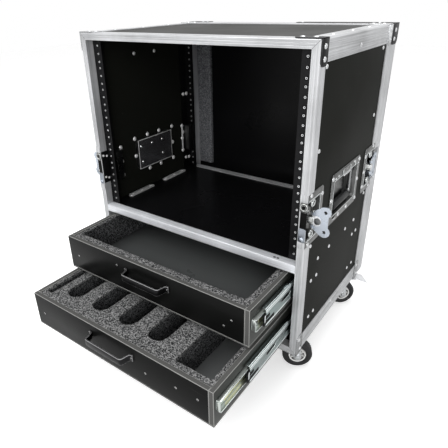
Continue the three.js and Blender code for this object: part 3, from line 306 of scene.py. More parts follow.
def placed_copy(pattern, at=Matrix()):
    """A copy of a piece, with its own mesh, taken to its place by a matrix."""
    copy = bpy.data.objects.new(pattern.name, pattern.data.copy())
    copy.data.transform(at)
    bpy.context.scene.collection.objects.link(copy)
    return copy


def seat(place, outward):
    """Takes what stands on the origin along z to a place, to stand out along outward."""
    turned = Vector((0, 0, 1)).rotation_difference(Vector(outward))
    return Matrix.Translation(place) @ turned.to_matrix().to_4x4()


def rivet_heads(places, outward, radius=0.004, height=0.0019, finish=rivet_zinc):
    """Rivet heads at the places, each standing out along outward."""
    sized = Matrix.Diagonal((radius, radius, height, 1))
    return [coated(placed_copy(head_pattern, seat(place, outward) @ sized), finish)
            for place in places]


def side_rivets(x, points, way, *sizes_and_finish):
    """Rivet heads at points (y, z) of both sides, outside where way is 1 and inside where -1."""
    heads = []
    for side in (1, -1):
        places = [(side * x, y, z) for y, z in points]
        heads += rivet_heads(places, (side * way, 0, 0), *sizes_and_finish)
    return heads


heads = side_rivets(panel_side, [
    (0.00775, 0.2767), (0.06275, 0.2767), (0.15175, 0.2767), (0.20375, 0.2767),
    (-0.01725, 0.2387), (0.00775, 0.2387), (0.20575, 0.2387), (0.22975, 0.2387),
    (-0.01325, 0.1502), (0.00975, 0.1502), (0.20275, 0.1502), (0.23075, 0.1502),
    (-0.03425, 0.6337), (-0.03525, 0.5017), (-0.03525, 0.3237),
    (0.24675, 0.6347), (0.24775, 0.5027), (0.25275, 0.3247),
], 1)
# inside the case each rivet ends in a smaller flat head on the board, painted paler than the heads
# outside as painted light in the dark interior
top_tails = [(0.0669, 0.6214), (0.1351, 0.6207)]
rear_tails = [(0.2377, 0.5012), (0.2292, 0.3989)]
heads += side_rivets(inner_side, top_tails, -1, 0.0042, 0.002, tail_zinc_painted_light)
heads += side_rivets(inner_side, rear_tails, -1, 0.0052, 0.002, tail_zinc_painted_light)
# rivets of the long edges, on their upright legs and on their flats
heads += side_rivets(case_side, [(0.1068, 0.6514), (0.1088, 0.1137)], 1)
flat_x = 0.2435
sunk = 0.0002
flat_head = (0.0042, 0.0014)
edge_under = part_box("edge_bottom_right")[0][2]
for z, way, row in (
    (top_z - sunk, 1, (0.0163, 0.1039, 0.1913)),
    (edge_under + sunk, -1, (0.0093, 0.1093, 0.2093)),
):
    flat_places = [(x, y, z) for x in (flat_x, -flat_x) for y in row]
    heads += rivet_heads(flat_places, (0, 0, way), *flat_head)
gathered("case_rivets", heads)

# Corner braces and brackets: folded steel straps riveted over the joints of the frames. Those at
# the top front right and on the lid are black, the others zinc plated. Two flat zinc brackets
# with rounded ends hold the shelf to each side from inside.
zinc_plate = metal("zinc plate", (0.30, 0.305, 0.31), 0.28, 60, spread=0.5)
# bright zinc on edges, lips and the rear braces is polish and also painted highlight
zinc_polished_and_highlit = metal("zinc polished on its edges, painted bright as highlight", (0.72, 0.73, 0.74), 0.2, 200, spread=0.2)
black_plate = laminate("black coat of the braces", (0.012, 0.012, 0.0125), 0.35, scuff=0.6,
                       shine=0.06)
black_edge = metal("worn edges of the black braces", (0.1, 0.1, 0.104), 0.32, 200)


def bevelled(piece, width, edge_finish=None, angle=35, steps=2):
    """Eases every sharp edge, and gives the eased strip its own finish where one is named."""
    ease = piece.modifiers.new("eased edges", "BEVEL")
    ease.width = width
    ease.segments = steps
    ease.limit_method = "ANGLE"
    ease.angle_limit = radians(angle)
    if edge_finish:
        piece.data.materials.append(edge_finish)
        ease.material = len(piece.data.materials) - 1
    selected(piece)
    bpy.ops.object.modifier_apply(modifier=ease.name)
    bpy.ops.object.shade_smooth_by_angle(angle=radians(angle))
    return piece


def plate(corner, opposite, axis, radius, finish, edge_finish=None, ease=0.0003, chosen=None):
    """A plate between two opposite corners. The edges along one axis, or the chosen ones of
    them, are rounded to a radius."""
    piece = coated(started(bpy.ops.mesh.primitive_cube_add, size=1), finish)
    piece.scale = [abs(b - a) for a, b in zip(corner, opposite)]
    piece.location = [(a + b) / 2 for a, b in zip(corner, opposite)]
    bpy.ops.object.transform_apply(location=True, scale=True)
    if radius:
        mesh = piece.data
        for element in (*mesh.vertices, *mesh.edges, *mesh.polygons):
            element.select = False
        for edge in mesh.edges:
            start, end = (mesh.vertices[i].co for i in edge.vertices)
            along = abs((end - start).normalized()[axis]) > 0.9
            edge.select = along and (not chosen or chosen((start + end) / 2))
        bpy.context.tool_settings.mesh_select_mode = (False, True, False)
        bpy.ops.object.mode_set(mode="EDIT")
        bpy.ops.mesh.bevel(offset=radius, segments=6, affect="EDGES")
        bpy.ops.object.mode_set(mode="OBJECT")
    return bevelled(piece, ease, edge_finish)


def plates(origin, rows, way_y=1):
    """Plates from rows of x, y and z, each from and to, that are counted from an origin, and
    of what plate takes after its corners."""
    x, y, z = origin
    return [plate((x + x0, y + way_y * y0, z + z0), (x + x1, y + way_y * y1, z + z1), *rest)
            for x0, x1, y0, y1, z0, z1, *rest in rows]


def mirrored(parts):
    """The parts, taken over to the other side of the case."""
    for part in parts:
        part.data.transform(Matrix.Diagonal((-1, 1, 1, 1)))
        part.data.flip_normals()
    return parts


def pair(name, parts, body="case", replaced=()):
    """Joins parts into a piece of the right side and makes its twin on the left side."""
    piece = gathered(name, parts, body, replaced)
    twin_name, twin_body, *twin_replaced = (
        words.replace("right", "left") for words in (name, body, *replaced))
    gathered(twin_name, mirrored([placed_copy(piece)]), twin_body, twin_replaced)


strap = 0.0014
brace_reach, brace_wide = 0.0395, 0.0245
rounding, eased = 0.008, 0.0003
past_bend = 0.02
brace_rivet, brace_flat_rivet = (0.0043, 0.0021), (0.0043, 0.0017)


def top_brace(y0, y1, leg, finishes, on_side, on_top, side_rounding=rounding, top_y0=None):
    """An angle over a top corner of the right side: one leg down the side, one along the top.
    Rivets on_side lie at (y from its middle, depth) and on_top at (x from the side, y)."""
    legs = plates((case_side, 0, top_z), (
        (-0.0006, strap, y0, y1, -brace_reach, 0.0011, 0, side_rounding, *finishes, eased,
         lambda middle: middle.z < top_z - past_bend),
        (-leg, strap, top_y0 or y0, y1, -0.0004, 0.0012, 2, rounding, *finishes, eased,
         lambda middle: middle.x < case_side - past_bend),
    ))
    middle = (y0 + y1) / 2
    side_places = [(case_side + strap, middle + y, top_z - depth) for y, depth in on_side]
    top_places = [(case_side - x, middle + y, top_z + 0.001) for x, y in on_top]
    return [*legs, *rivet_heads(side_places, (1, 0, 0), *brace_rivet),
            *rivet_heads(top_places, (0, 0, 1), *brace_flat_rivet)]


def bottom_brace(y0, y1):
    """The like zinc angle under a bottom corner."""
    legs = plates((case_side, 0, frame_low), (
        (-0.0006, strap, y0, y1, -0.001, 0.044, 0, rounding, zinc_plate, zinc_polished_and_highlit, eased,
         lambda middle: middle.z > frame_low + past_bend),
        (-0.05, strap, y0, y1, -0.0014, 0.0004, 2, rounding, zinc_plate, zinc_polished_and_highlit, eased,
         lambda middle: middle.x < case_side - past_bend),
    ))
    places = [(case_side + strap, (y0 + y1) / 2 + y, frame_low + rise)
              for y, rise in ((-0.004, 0.0345), (0.003, 0.0085))]
    return [*legs, *rivet_heads(places, (1, 0, 0), *brace_rivet)]


rear_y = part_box("rear_frame")[1][1]
front_span = (front_y + 0.0002, front_y + brace_wide)
rear_end = rear_y - 0.0004
top_leg_reach = 0.045
corner_rivets = ([(0, 0.0112), (0, 0.0292)], [(0.014, 0), (0.035, 0)])
black_finishes = (black_plate, black_edge)
parts = top_brace(*front_span, top_leg_reach, black_finishes, *corner_rivets)
gathered("corner_brace_front_right", parts)
parts = top_brace(*front_span, top_leg_reach, (zinc_plate, zinc_polished_and_highlit), *corner_rivets)
gathered("corner_brace_front_left", mirrored(parts))
# the rear top braces are bright zinc all over with dark zinc edges, painted bright as highlight
parts = top_brace(rear_y - brace_wide + 0.004, rear_end, top_leg_reach,
                  (zinc_polished_and_highlit, zinc_plate), *corner_rivets)
pair("corner_brace_rear_right", parts)
pair("corner_brace_bottom_front_right", bottom_brace(*front_span))
pair("corner_brace_bottom_rear_right", bottom_brace(rear_y - brace_wide, rear_end))

shelf_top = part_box("divider_shelf")[1][2]
strip_wide = 0.0145
rivet_inset = 0.011
bracket_zinc = metal("galvanised bracket", (0.62, 0.62, 0.62), 0.45, 90, 0.35, metallic=0.3)
for number, (y0, y1) in enumerate(((0.0005, 0.0865), (0.1285, 0.2185)), start=1):
    strip = plate(
        (inner_side - strip_wide, y0, shelf_top + 0.0001),
        (inner_side - 0.0002, y1, shelf_top + 0.0031), 2, 0.006, bracket_zinc, zinc_polished_and_highlit)
    strip_places = [(inner_side - strip_wide / 2, y, shelf_top + 0.003)
                    for y in (y0 + rivet_inset, (y0 + y1) / 2, y1 - rivet_inset)]
    parts = [strip, *rivet_heads(strip_places, (0, 0, 1), 0.0042, 0.0018, tail_zinc_painted_light)]
    pair(f"shelf_bracket_right_{number}", parts)

# Bar over the shelf's front edge: an aluminium angle, its flat on the shelf drawn with low lines.
# Two small notches in its flat are near-black domes, painted dark as the shade in the notches.
low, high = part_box("divider_front_bar")
bar_metal = metal("aluminium of the shelf bar", (0.74, 0.755, 0.785), 0.42, (7, 500, 500),
                  spread=0.7, metallic=0.35)
bar_thick = 0.0016
parts = [
    plate((low[0], low[1], high[2] - bar_thick), high, 0, 0.0012, bar_metal, ease=0.0002,
          chosen=lambda middle: middle.y < low[1] + 0.002 and middle.z > high[2] - 0.001),
    plate(low, (high[0], low[1] + bar_thick, high[2] - 0.001), 0, 0, bar_metal),
]
line_half = 0.0007
line_look = (0, 0, bar_metal, None, 0.0001)
parts += plates((0, low[1], high[2]), [
    (low[0], high[0], y - line_half, y + line_half, -0.0003, 0.0002, *line_look)
    for y in (0.0052, 0.0098, 0.0144)])
parts += plates((0, low[1], low[2]), [
    (low[0], high[0], -0.0002, 0.0002, z - line_half, z + line_half, *line_look)
    for z in (0.0042, 0.0112)])
# near-black domes painted as the shade in two notches
notch_shade = laminate("painted shade of the notches", (0.006, 0.006, 0.006), 0.5, scuff=0.1)
notches = [(x, low[1] + 0.0075, high[2] - 0.0004) for x in (0.1995, 0.2065)]
parts += rivet_heads(notches, (0, 0, 1), 0.003, 0.0011, notch_shade)
gathered("shelf_bar", parts, replaced=("divider_front_bar",))

# Rack rails: angle steel, black powder coat, which stand on the shelf along the front and the
# rear frame. Every hole is lined with a zinc plated threaded insert, whose bright rim shows as
# a row of dots.
rail_black = metal("black powder coat", (0.02, 0.02, 0.021), 0.42, 500, 0.4, relief=0.0001)
insert_zinc = metal("insert zinc", (0.85, 0.86, 0.87), 0.25, 300, 0.2, metallic=0.5)
# painted shade of the holes, in the inserts' bores and round their rims
insert_hole_shade = metal("painted shade in and round the bores of the inserts", (0.03, 0.03, 0.03), 0.5, 300)
(_, rail_front, _), (rail_side, _, _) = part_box("rack_rail_front_right")
rail_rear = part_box("rack_rail_rear_right")[1][1]
hole_x = rail_side - 0.01645
hole_radius = 0.0033
rim_radius, rim_proud = hole_radius * 1.02, 0.0015
rail_thick = 0.002
first_hole = top_z - 0.0203 - 0.00635
hole_step = 0.015875
unit = 0.04445

# one nut that fills a hole of radius 1 round the z axis, its bright rim a little proud; its bore
# and the ring round its rim are painted dark as the shade of the hole
insert_pattern = coated(
    started(bpy.ops.mesh.primitive_circle_add, vertices=12, radius=1, fill_type="NGON"),
    insert_zinc, insert_hole_shade)
bpy.ops.object.mode_set(mode="EDIT")
bpy.ops.mesh.select_all(action="SELECT")
for shrink, rise in ((0.62, 0), (0.95, 0.22), (0.6, 0), (0.9, -0.5)):
    bpy.ops.mesh.extrude_region_move(TRANSFORM_OT_translate={"value": (0, 0, rise)})
    bpy.ops.transform.resize(value=(shrink, shrink, 1))
bpy.ops.object.mode_set(mode="OBJECT")
# the bore and the ring round the rim take the painted shade of the hole
for face in insert_pattern.data.polygons:
    away = face.center.xy.length
    if away < 0.3 and face.center.z < 0.1 or away > 0.7:
        face.material_index = 1

for end, y, outward in (("front", rail_front, -1), ("rear", rail_rear, 1)):
    for side, sign in (("right", 1), ("left", -1)):
        coated(solids[f"rack_rail_{end}_{side}"], rail_black)
        inserts = []
        for facing, face_y in ((outward, y), (-outward, y - outward * rail_thick)):
            for number in range(24):
                z = first_hole - (number // 3) * unit - (number % 3) * hole_step
                inserts.append(placed_copy(
                    insert_pattern, seat((sign * hole_x, face_y, z), (0, facing, 0))
                    @ Matrix.Diagonal((rim_radius, rim_radius, rim_proud, 1))))
        gathered(f"rail_inserts_{end}_{side}", inserts)
bpy.data.objects.remove(insert_pattern)

# Drawers: boxes of black laminated board. The front board covers the left wall's end and butts
# against the right wall, whose raw edge shows in front as a grey strip, as do the boards' top
# edges and the floor's front edge. The slide's inner member, a steel channel, is screwed on.
raw_edge = laminate("raw board edge", (0.088, 0.088, 0.085), 0.75, scuff=1.0, relief=0.0005,
                    shine=0.08)
# the eased edges of the boards are chipped film and also a painted highlight
chipped_and_highlit_edge = laminate("chipped film along the edges, painted light as highlight", (0.3, 0.3, 0.29), 0.7, scuff=0.9,
                        relief=0.0003, shine=0.1)
drawer_front_laminate = laminate("drawer front laminate", (0.005, 0.0052, 0.005), 0.34,
                                 scuff=0.25, shine=0.07)
drawer_side_laminate = laminate("drawer side laminate", (0.024, 0.026, 0.023), 0.3, scuff=0.6)
board_dark = laminate("smooth dark board", (0.036, 0.038, 0.038), 0.32, scuff=0.35)
slide_pale = metal("pale slide zinc", (0.62, 0.66, 0.63), 0.28, (400, 9, 400), spread=0.35)
slide_highlit_edge = metal("slide zinc on its edges", (0.74, 0.79, 0.79), 0.2, (300, 9, 300), spread=0.2)
slide_yellow = metal("slide zinc with a yellow tint", (0.85, 0.82, 0.56), 0.35, (300, 9, 300),
                     spread=0.4)
screw_steel = metal("screw steel", (0.5, 0.5, 0.5), 0.3, 400)
# the crosses are dark plates, painted shade of the recesses
screw_cross_shade = metal("painted shade of the screw crosses", (0.03, 0.03, 0.03), 0.6, 400)
wall_x = 0.2305
wall = 0.009
inside = wall_x - wall
floor_sheet, floor_top = 0.003, 0.009
joint_gap = 0.0001
upwards, forwards = (0, 0, 1), (0, -1, 0)


def board(corner, opposite, finish, sawn, ease=0.0008):
    """A board with chipped edges, also painted light as highlight, whose faces towards the sawn
    directions are raw.
    """
    piece = plate(corner, opposite, 0, 0, finish, chipped_and_highlit_edge, ease)
    piece.data.materials.append(raw_edge)
    for face in piece.data.polygons:
        if any(face.normal.dot(Vector(way)) > 0.95 for way in sawn):
            face.material_index = 2
    return piece


def cross_screw(place, radius, outward):
    """A low countersunk screw head with its cross, painted dark as the shade in the recess."""
    parts = rivet_heads([place], outward, radius, radius * 0.22, screw_steel)
    for length, width in ((0.62, 0.16), (0.16, 0.62)):
        slot = plate((-length * radius, -width * radius, 0),
                     (length * radius, width * radius, radius * 0.26),
                     2, 0.05 * radius, screw_cross_shade, ease=0.00002)
        slot.data.transform(seat(place, outward))
        parts.append(slot)
    return parts


# the lower drawer's sheet is given a paler tint than the upper's, painted light that makes up for
# the shade of its deeper pocket
for level, bed_tint_with_painted_light, screws in (
    ("upper", (0.075, 0.079, 0.079),
     ((-0.203, 0.2301), (-0.082, 0.2491), (0.195, 0.2361), (0.179, 0.2177))),
    ("lower", (0.15, 0.156, 0.157),
     ((-0.206, 0.1407), (0.199, 0.1497), (0.153, 0.1477), (0.083, 0.1387))),
):
    drawer = f"{level}_drawer"
    (_, y0, z0), (_, y1, z1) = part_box(f"{drawer}_box")
    bed = laminate(f"smoky sheet of the {level} drawer", bed_tint_with_painted_light, 0.32, scuff=0.35)
    sheet_z = z0 + floor_sheet
    front = board((-wall_x, y0, sheet_z), (inside - 0.0002, y0 + wall, z1),
                  drawer_front_laminate, [upwards])
    right = board((inside, y0 + 0.0003, sheet_z), (wall_x, y1, z1),
                  drawer_side_laminate, [upwards, forwards])
    left = board((-wall_x, y0 + wall + joint_gap, sheet_z), (-inside, y1, z1),
                 drawer_side_laminate, [upwards])
    back = board((-inside + joint_gap, y1 - wall, sheet_z), (inside - joint_gap, y1, z1),
                 drawer_side_laminate, [upwards])
    sheet = board((-wall_x, y0 + 0.0004, z0), (wall_x, y1, sheet_z),
                  board_dark, [forwards, (1, 0, 0), (-1, 0, 0)], 0.0006)
    base = plate((-inside + joint_gap, y0 + wall + joint_gap, sheet_z),
                 (inside - joint_gap, y1 - wall - joint_gap, z0 + floor_top), 0, 0, bed)
    gathered(f"{drawer}_boards", [front, right, left, back, sheet, base], drawer,
             (f"{drawer}_box",))

    middle_z = sum(corner[2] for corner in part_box(f"{level}_slide_middle_right")) / 2
    end = y1 - 0.001 - y0
    flange = (2, 0.0025, slide_pale, slide_highlit_edge, 0.00025, lambda middle: middle.x > wall_x + 0.0045)
    parts = plates((wall_x, y0, middle_z), (
        (0.0001, 0.0013, 0.006, end, -0.0125, 0.0125, 0, 0.005, slide_pale, slide_highlit_edge),
        (0.0001, 0.0089, 0.008, end, 0.0113, 0.0125, *flange),
        (0.0001, 0.0089, 0.008, end, -0.0125, -0.0113, *flange),
        (0.0013, 0.0016, 0.028, 0.092, -0.0095, 0.0095, 0, 0.002, slide_yellow, None, 0.0001),
        (0.0003, 0.0086, 0.0062, 0.0074, -0.0105, 0.0105, 1, 0.0035, slide_pale, slide_highlit_edge),
    ))
    for y in (y0 + 0.02, y0 + 0.117, y0 + 0.213, y1 - 0.03):
        parts += cross_screw((wall_x + 0.0014, y, middle_z), 0.0036, (1, 0, 0))
    pair(f"{level}_slide_inner_right", parts, drawer)

    parts = []
    for x, z in screws:
        parts += cross_screw((x, y0, z), 0.0024, forwards)
    gathered(f"{drawer}_screws", parts, drawer)

# Foam in the drawers: bonded crumb foam, light and dark grey flakes pressed into a block, cut
# with a hot wire. Its top is sheared smooth, the walls of the pockets are torn, and painted darker
# as the shade in the pockets.
foam_crumb, given, made = effect(
    "foam crumb",
    {"Place": "Vector", "Light flake": "Color", "Dark flake": "Color"},
    {"Colour": "Color", "Height": "Float"})
flakes = added(foam_crumb, "TexVoronoi", {"Vector": given["Place"], "Scale": 600, "Randomness": 1})
flake_shade = added(foam_crumb, "SeparateColor", {0: flakes.outputs["Color"]})
fluff = added(foam_crumb, "TexNoise", {"Vector": given["Place"], "Scale": 230, "Detail": 5})
mixed = worked_out(foam_crumb, "MULTIPLY", flake_shade, fluff)
stretched = added(foam_crumb, "MapRange", {"Value": mixed, "From Min": 0.1, "From Max": 0.5})
blend = added(foam_crumb, "Mix", {
    "Factor": stretched, 6: given["Dark flake"], 7: given["Light flake"]}, data_type="RGBA")
filled(foam_crumb, made, {"Colour": blend.outputs[2], "Height": mixed})


def foam(name, light, dark, relief):
    """Crumb foam between a light and a dark flake colour."""
    return patterned(
        name, foam_crumb, relief, {"Light flake": (*light, 1), "Dark flake": (*dark, 1)},
        {"Roughness": 0.95, "Specular IOR Level": 0.1})


foam_top = foam("sheared crumb foam", (0.33, 0.33, 0.33), (0.014, 0.015, 0.016), 0.0014)
# the walls' foam is darker than the top's, as painted shade in the pockets
foam_wall_painted_shade = foam("torn crumb foam, darkened as painted shade", (0.17, 0.174, 0.178), (0.009, 0.009, 0.01), 0.0026)


def copied_from(node, finish):
    """A CAD piece's mesh with its loose triangles merged, to be finished further."""
    piece = coated(placed_copy(solids[node]), finish)
    for face in piece.data.polygons:
        face.material_index = 0
    selected(piece)
    bpy.ops.object.mode_set(mode="EDIT")
    bpy.ops.mesh.select_all(action="SELECT")
    bpy.ops.mesh.customdata_custom_splitnormals_clear()
    bpy.ops.mesh.remove_doubles(threshold=0.00001)
    bpy.ops.mesh.dissolve_limited(angle_limit=radians(0.5))
    bpy.ops.object.mode_set(mode="OBJECT")
    return piece


def torn(place, size):
    """How far inwards the surface is torn at a place, from 0 to 1."""
    return 0.5 + 0.5 * noise.noise(place * (1 / size), noise_basis="PERLIN_ORIGINAL")


foam_voxel = 0.0032
skin_depth, sheared_depth, torn_depth, crumb_depth = 0.0003, 0.0008, 0.0026, 0.0012
sheared_size, torn_size, crumb_size = 0.006, 0.007, 0.003
rim_deep, rim_share = 0.009, 0.55
rim_end, rim_stretch = 0.02, 1.8


def foam_block(name, node, body, sheared=foam_top, cut=foam_wall_painted_shade, swell=0.0, rim_x=None):
    """Crumb foam in the place of its CAD solid: edges rounded off, walls torn rough. Its outer
    walls swell outwards, and what lies past rim_x is stretched away from the right side."""
    block = copied_from(node, sheared)
    low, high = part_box(node)
    middle = [(a + b) / 2 for a, b in zip(low, high)]
    half = [(b - a) / 2 for a, b in zip(low, high)]
    block.data.remesh_voxel_size = foam_voxel
    bpy.ops.object.voxel_remesh()
    mesh = block.data
    moved = []
    for vertex in mesh.vertices:
        spot, normal = vertex.co, vertex.normal
        below_top = high[2] - spot.z
        if normal.z > 0.75 and below_top < 0.005:
            depth = sheared_depth * torn(spot, sheared_size)
        elif normal.z < -0.5:
            depth = skin_depth
        elif max(abs(spot[axis] - middle[axis]) - half[axis] for axis in (0, 1)) > -0.003:
            depth = skin_depth - swell
        else:
            depth = torn_depth * torn(spot, torn_size) + crumb_depth * torn(spot, crumb_size)
            if below_top < rim_deep:
                depth *= rim_share
        pushed = spot - normal * depth
        if rim_x and pushed.x > rim_x and abs(spot.y - middle[1]) < half[1] - rim_end:
            pushed.x = high[0] - (high[0] - pushed.x) * rim_stretch
        moved.append(pushed)
    for vertex, spot in zip(mesh.vertices, moved):
        vertex.co = spot
    mesh.update()
    coated(block, sheared, cut)
    for face in mesh.polygons:
        face.use_smooth = True
        # faces below the top take the second finish, in the drawers the foam darkened as painted
        # shade
        face.material_index = 0 if face.center.z > high[2] - 0.0045 else 1
    piece = gathered(name, [block], body, (node,))


for level, rim_x in (("upper", None), ("lower", 0.205)):
    foam_block(f"{level}_drawer_crumb_foam", f"{level}_drawer_foam", f"{level}_drawer",
               swell=0.0013, rim_x=rim_x)

# Drawer slides: three-part ball bearing slides of zinc plated steel, their zinc painted dark as
# shade. The middle member has two long ridges over its web and a lip under it, ridges and edges
# painted bright as highlight; a black release lever sits in its front end.
# the slide zinc is painted dark as the shade on the slides
slide_zinc_painted_shade = metal("slide zinc", (0.25, 0.3, 0.295), 0.26, (400, 9, 400), spread=0.5)
lever_black = laminate("black nylon of the levers", (0.012, 0.012, 0.013), 0.4, scuff=0.2,
                       shine=0.02)
lever_parts = (
    (-0.0019, 0.0002, -0.0068, 0.0008, -0.0155, 0.0115, 0, 0.003, lever_black, None, 0.0003),
    (-0.001, 0.0002, 0, 0.03, -0.0125, -0.0055, 0, 0.002, lever_black, None, 0.0001),
    (-0.001, 0.0002, 0, 0.0135, -0.003, 0.0045, 0, 0.0018, lever_black, None, 0.0001),
    (-0.0005, 0.0003, -0.0052, -0.001, -0.0075, 0.0075, 0, 0.0015, slide_highlit_edge, None, 0.0001),
)
# the ridges are painted bright as highlight
ridge = (1, 0.0006, slide_highlit_edge, None, 0.0002)
for level in ("upper", "lower"):
    node = f"{level}_slide_middle_right"
    (_, y, z0), (x, y1, z1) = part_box(node)
    parts = [bevelled(copied_from(node, slide_zinc_painted_shade), 0.0004, slide_highlit_edge)]
    parts += plates((x, y, 0), [
        (-0.0012, 0.0002, 0.0004, y1 - y - 0.0004, z - half, z + half, *ridge)
        for z, half in ((z1 - 0.0032, 0.0016), (z1 - 0.0075, 0.0013), (z0 + 0.0032, 0.0019))])
    parts += plates((x, y, (z0 + z1) / 2), lever_parts)
    pair(f"{level}_slide_member_right", parts, f"{level}_slides", (node,))
    for side in ("right", "left"):
        coated(solids[f"{level}_slide_outer_{side}"], slide_zinc_painted_shade)

# Pulls: bent flat steel strips, powder coated black, rubbed grey along their edges and painted
# light there as highlight, each foot held by a screw through the drawer's front.
# the pulls' edges are rubbed grey and also a painted highlight
pull_black = metal("black coat of the pulls", (0.022, 0.022, 0.023), 0.34, 300, spread=0.4)
pull_rubbed_highlit_edge = metal("rubbed edges of the pulls, painted light as highlight", (0.3, 0.3, 0.305), 0.35, 300, 0.5, metallic=0.6)
for level in ("upper", "lower"):
    node = f"{level}_drawer_pull"
    low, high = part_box(node)
    parts = [bevelled(copied_from(node, pull_black), 0.0008, pull_rubbed_highlit_edge)]
    for x in (low[0] + 0.0045, high[0] - 0.0045):
        parts += cross_screw((x, high[1] - 0.003, (low[2] + high[2]) / 2), 0.0026, forwards)
    gathered(f"{level}_pull", parts, f"{level}_drawer", (node,))

# Recessed butterfly latches: pressed steel dishes, dark zinc plated and polished along their
# edges, the bright edges and beads also painted highlight, riveted over the seams. Round bosses
# are pressed beside the seam, a turning hub stands in each dish and carries the folding butterfly
# wing.
fitting_zinc = metal("dark zinc of the fittings", (0.15, 0.152, 0.15), 0.3, 45, spread=0.7)
# the bright edges, beads, ribs and pips are polished wear and also painted highlight
fitting_polish_and_highlight = metal("polished edges of the fittings, painted bright as highlight", (0.6, 0.62, 0.62), 0.2, 200, spread=0.4)
# the insides of bosses, mouths and slots are near-black plates and discs, painted shade
fitting_painted_shade = metal("painted shade in the bosses, mouths and slots", (0.012, 0.012, 0.012), 0.5, 200)
wing_zinc = metal("pale zinc of the wings", (0.52, 0.565, 0.63), 0.3, 30, 0.45, metallic=0.8)
# a bright disc with a darker disc off its side paints the highlight and shade of a domed boss
boss_painted_shade = metal("painted shade on the face of the boss", (0.16, 0.165, 0.17), 0.35, 120, spread=0.7)
boss_painted_highlight = metal("bright boss", (0.8, 0.81, 0.83), 0.25, 120, metallic=0.3)
fold_zinc = metal("blue zinc of the folded edge", (0.36, 0.39, 0.44), 0.3, 60, spread=0.7)
leaf_dark = metal("dark inner leaf", (0.045, 0.045, 0.047), 0.4, 90, spread=0.6)
hub_steel = metal("hub steel", (0.5, 0.51, 0.5), 0.22, 200)
outwards, inwards = (1, 0, 0), (-1, 0, 0)
fitting_rivet = (0.0042, 0.0022)


def ring(place, outward, radius, tube, finish, sides=20):
    """A pressed round bead."""
    bead = started(bpy.ops.mesh.primitive_torus_add, major_segments=sides, minor_segments=8,
                   major_radius=radius, minor_radius=tube)
    bead.data.transform(seat(place, outward))
    selected(bead)
    bpy.ops.object.shade_smooth_by_angle(angle=radians(60))
    return coated(bead, finish)


def disc(place, outward, radius, thick, finish, edge_finish=None, sides=24, ease=0.0004):
    """A turned disc whose back lies at place."""
    piece = started(bpy.ops.mesh.primitive_cylinder_add, vertices=sides, radius=radius,
                    depth=thick)
    piece.data.transform(seat(Vector(place) + Vector(outward) * thick / 2, outward))
    return bevelled(coated(piece, finish), ease, edge_finish)


latch_z = 0.383
latch_rivet_away, latch_rivet_z = 0.06, (0.4177, 0.3827, 0.3487)
(pan_floor, _, _), (face_x, _, _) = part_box("latch_dish_front_right")
boss_floor = pan_floor + 0.02
bead = (0.0006, fitting_polish_and_highlight, None, 0.0002)
# a bead runs round the pan's edge on the plate
bead_plates = (
    (-0.0004, 0.0009, 0.004, 0.05, -0.0396, -0.0374, 1, *bead),
    (-0.0004, 0.0009, 0.004, 0.05, 0.0374, 0.0396, 1, *bead),
    (-0.0004, 0.0009, 0.0505, 0.0527, -0.0385, 0.0385, 2, *bead),
)
# the dish is folded round the frame's edge at the seam, with a mouth between two bosses that is
# a plate painted dark as shade, and its inner leaf lies on the frame beside the opening
leaf_x, leaf_face, fold_x, mouth_x = (x - face_x for x in (0.2446, 0.2456, 0.2462, 0.2449))
lip = (1, 0.0004, body_frame_metal, None, 0.0003)
fold_plates = (
    (fold_x, 0, -0.0009, 0.0009, 0.0185, 0.0375, 1, 0.004, fitting_zinc, hub_steel),
    (fold_x, 0, -0.0009, 0.0009, -0.0385, -0.0115, 1, 0.004, fold_zinc, hub_steel),
    (mouth_x, -0.0004, 0.0002, 0.0016, -0.012, 0.019, 1, 0.001, fitting_painted_shade, None, 0.0002),
    (leaf_face, 0, -0.0012, 0.0012, 0.0375, 0.0512, *lip),
    (leaf_face, 0, -0.0012, 0.0012, -0.0512, -0.0385, *lip),
    (leaf_x, leaf_face, 0.0002, 0.0212, -0.036, 0.039, 0, 0.001, leaf_dark, fitting_zinc),
)
leaf_rivets = ((0.0062, 0.0295), (0.0162, 0.0265), (0.0062, -0.0225), (0.0152, -0.0265))
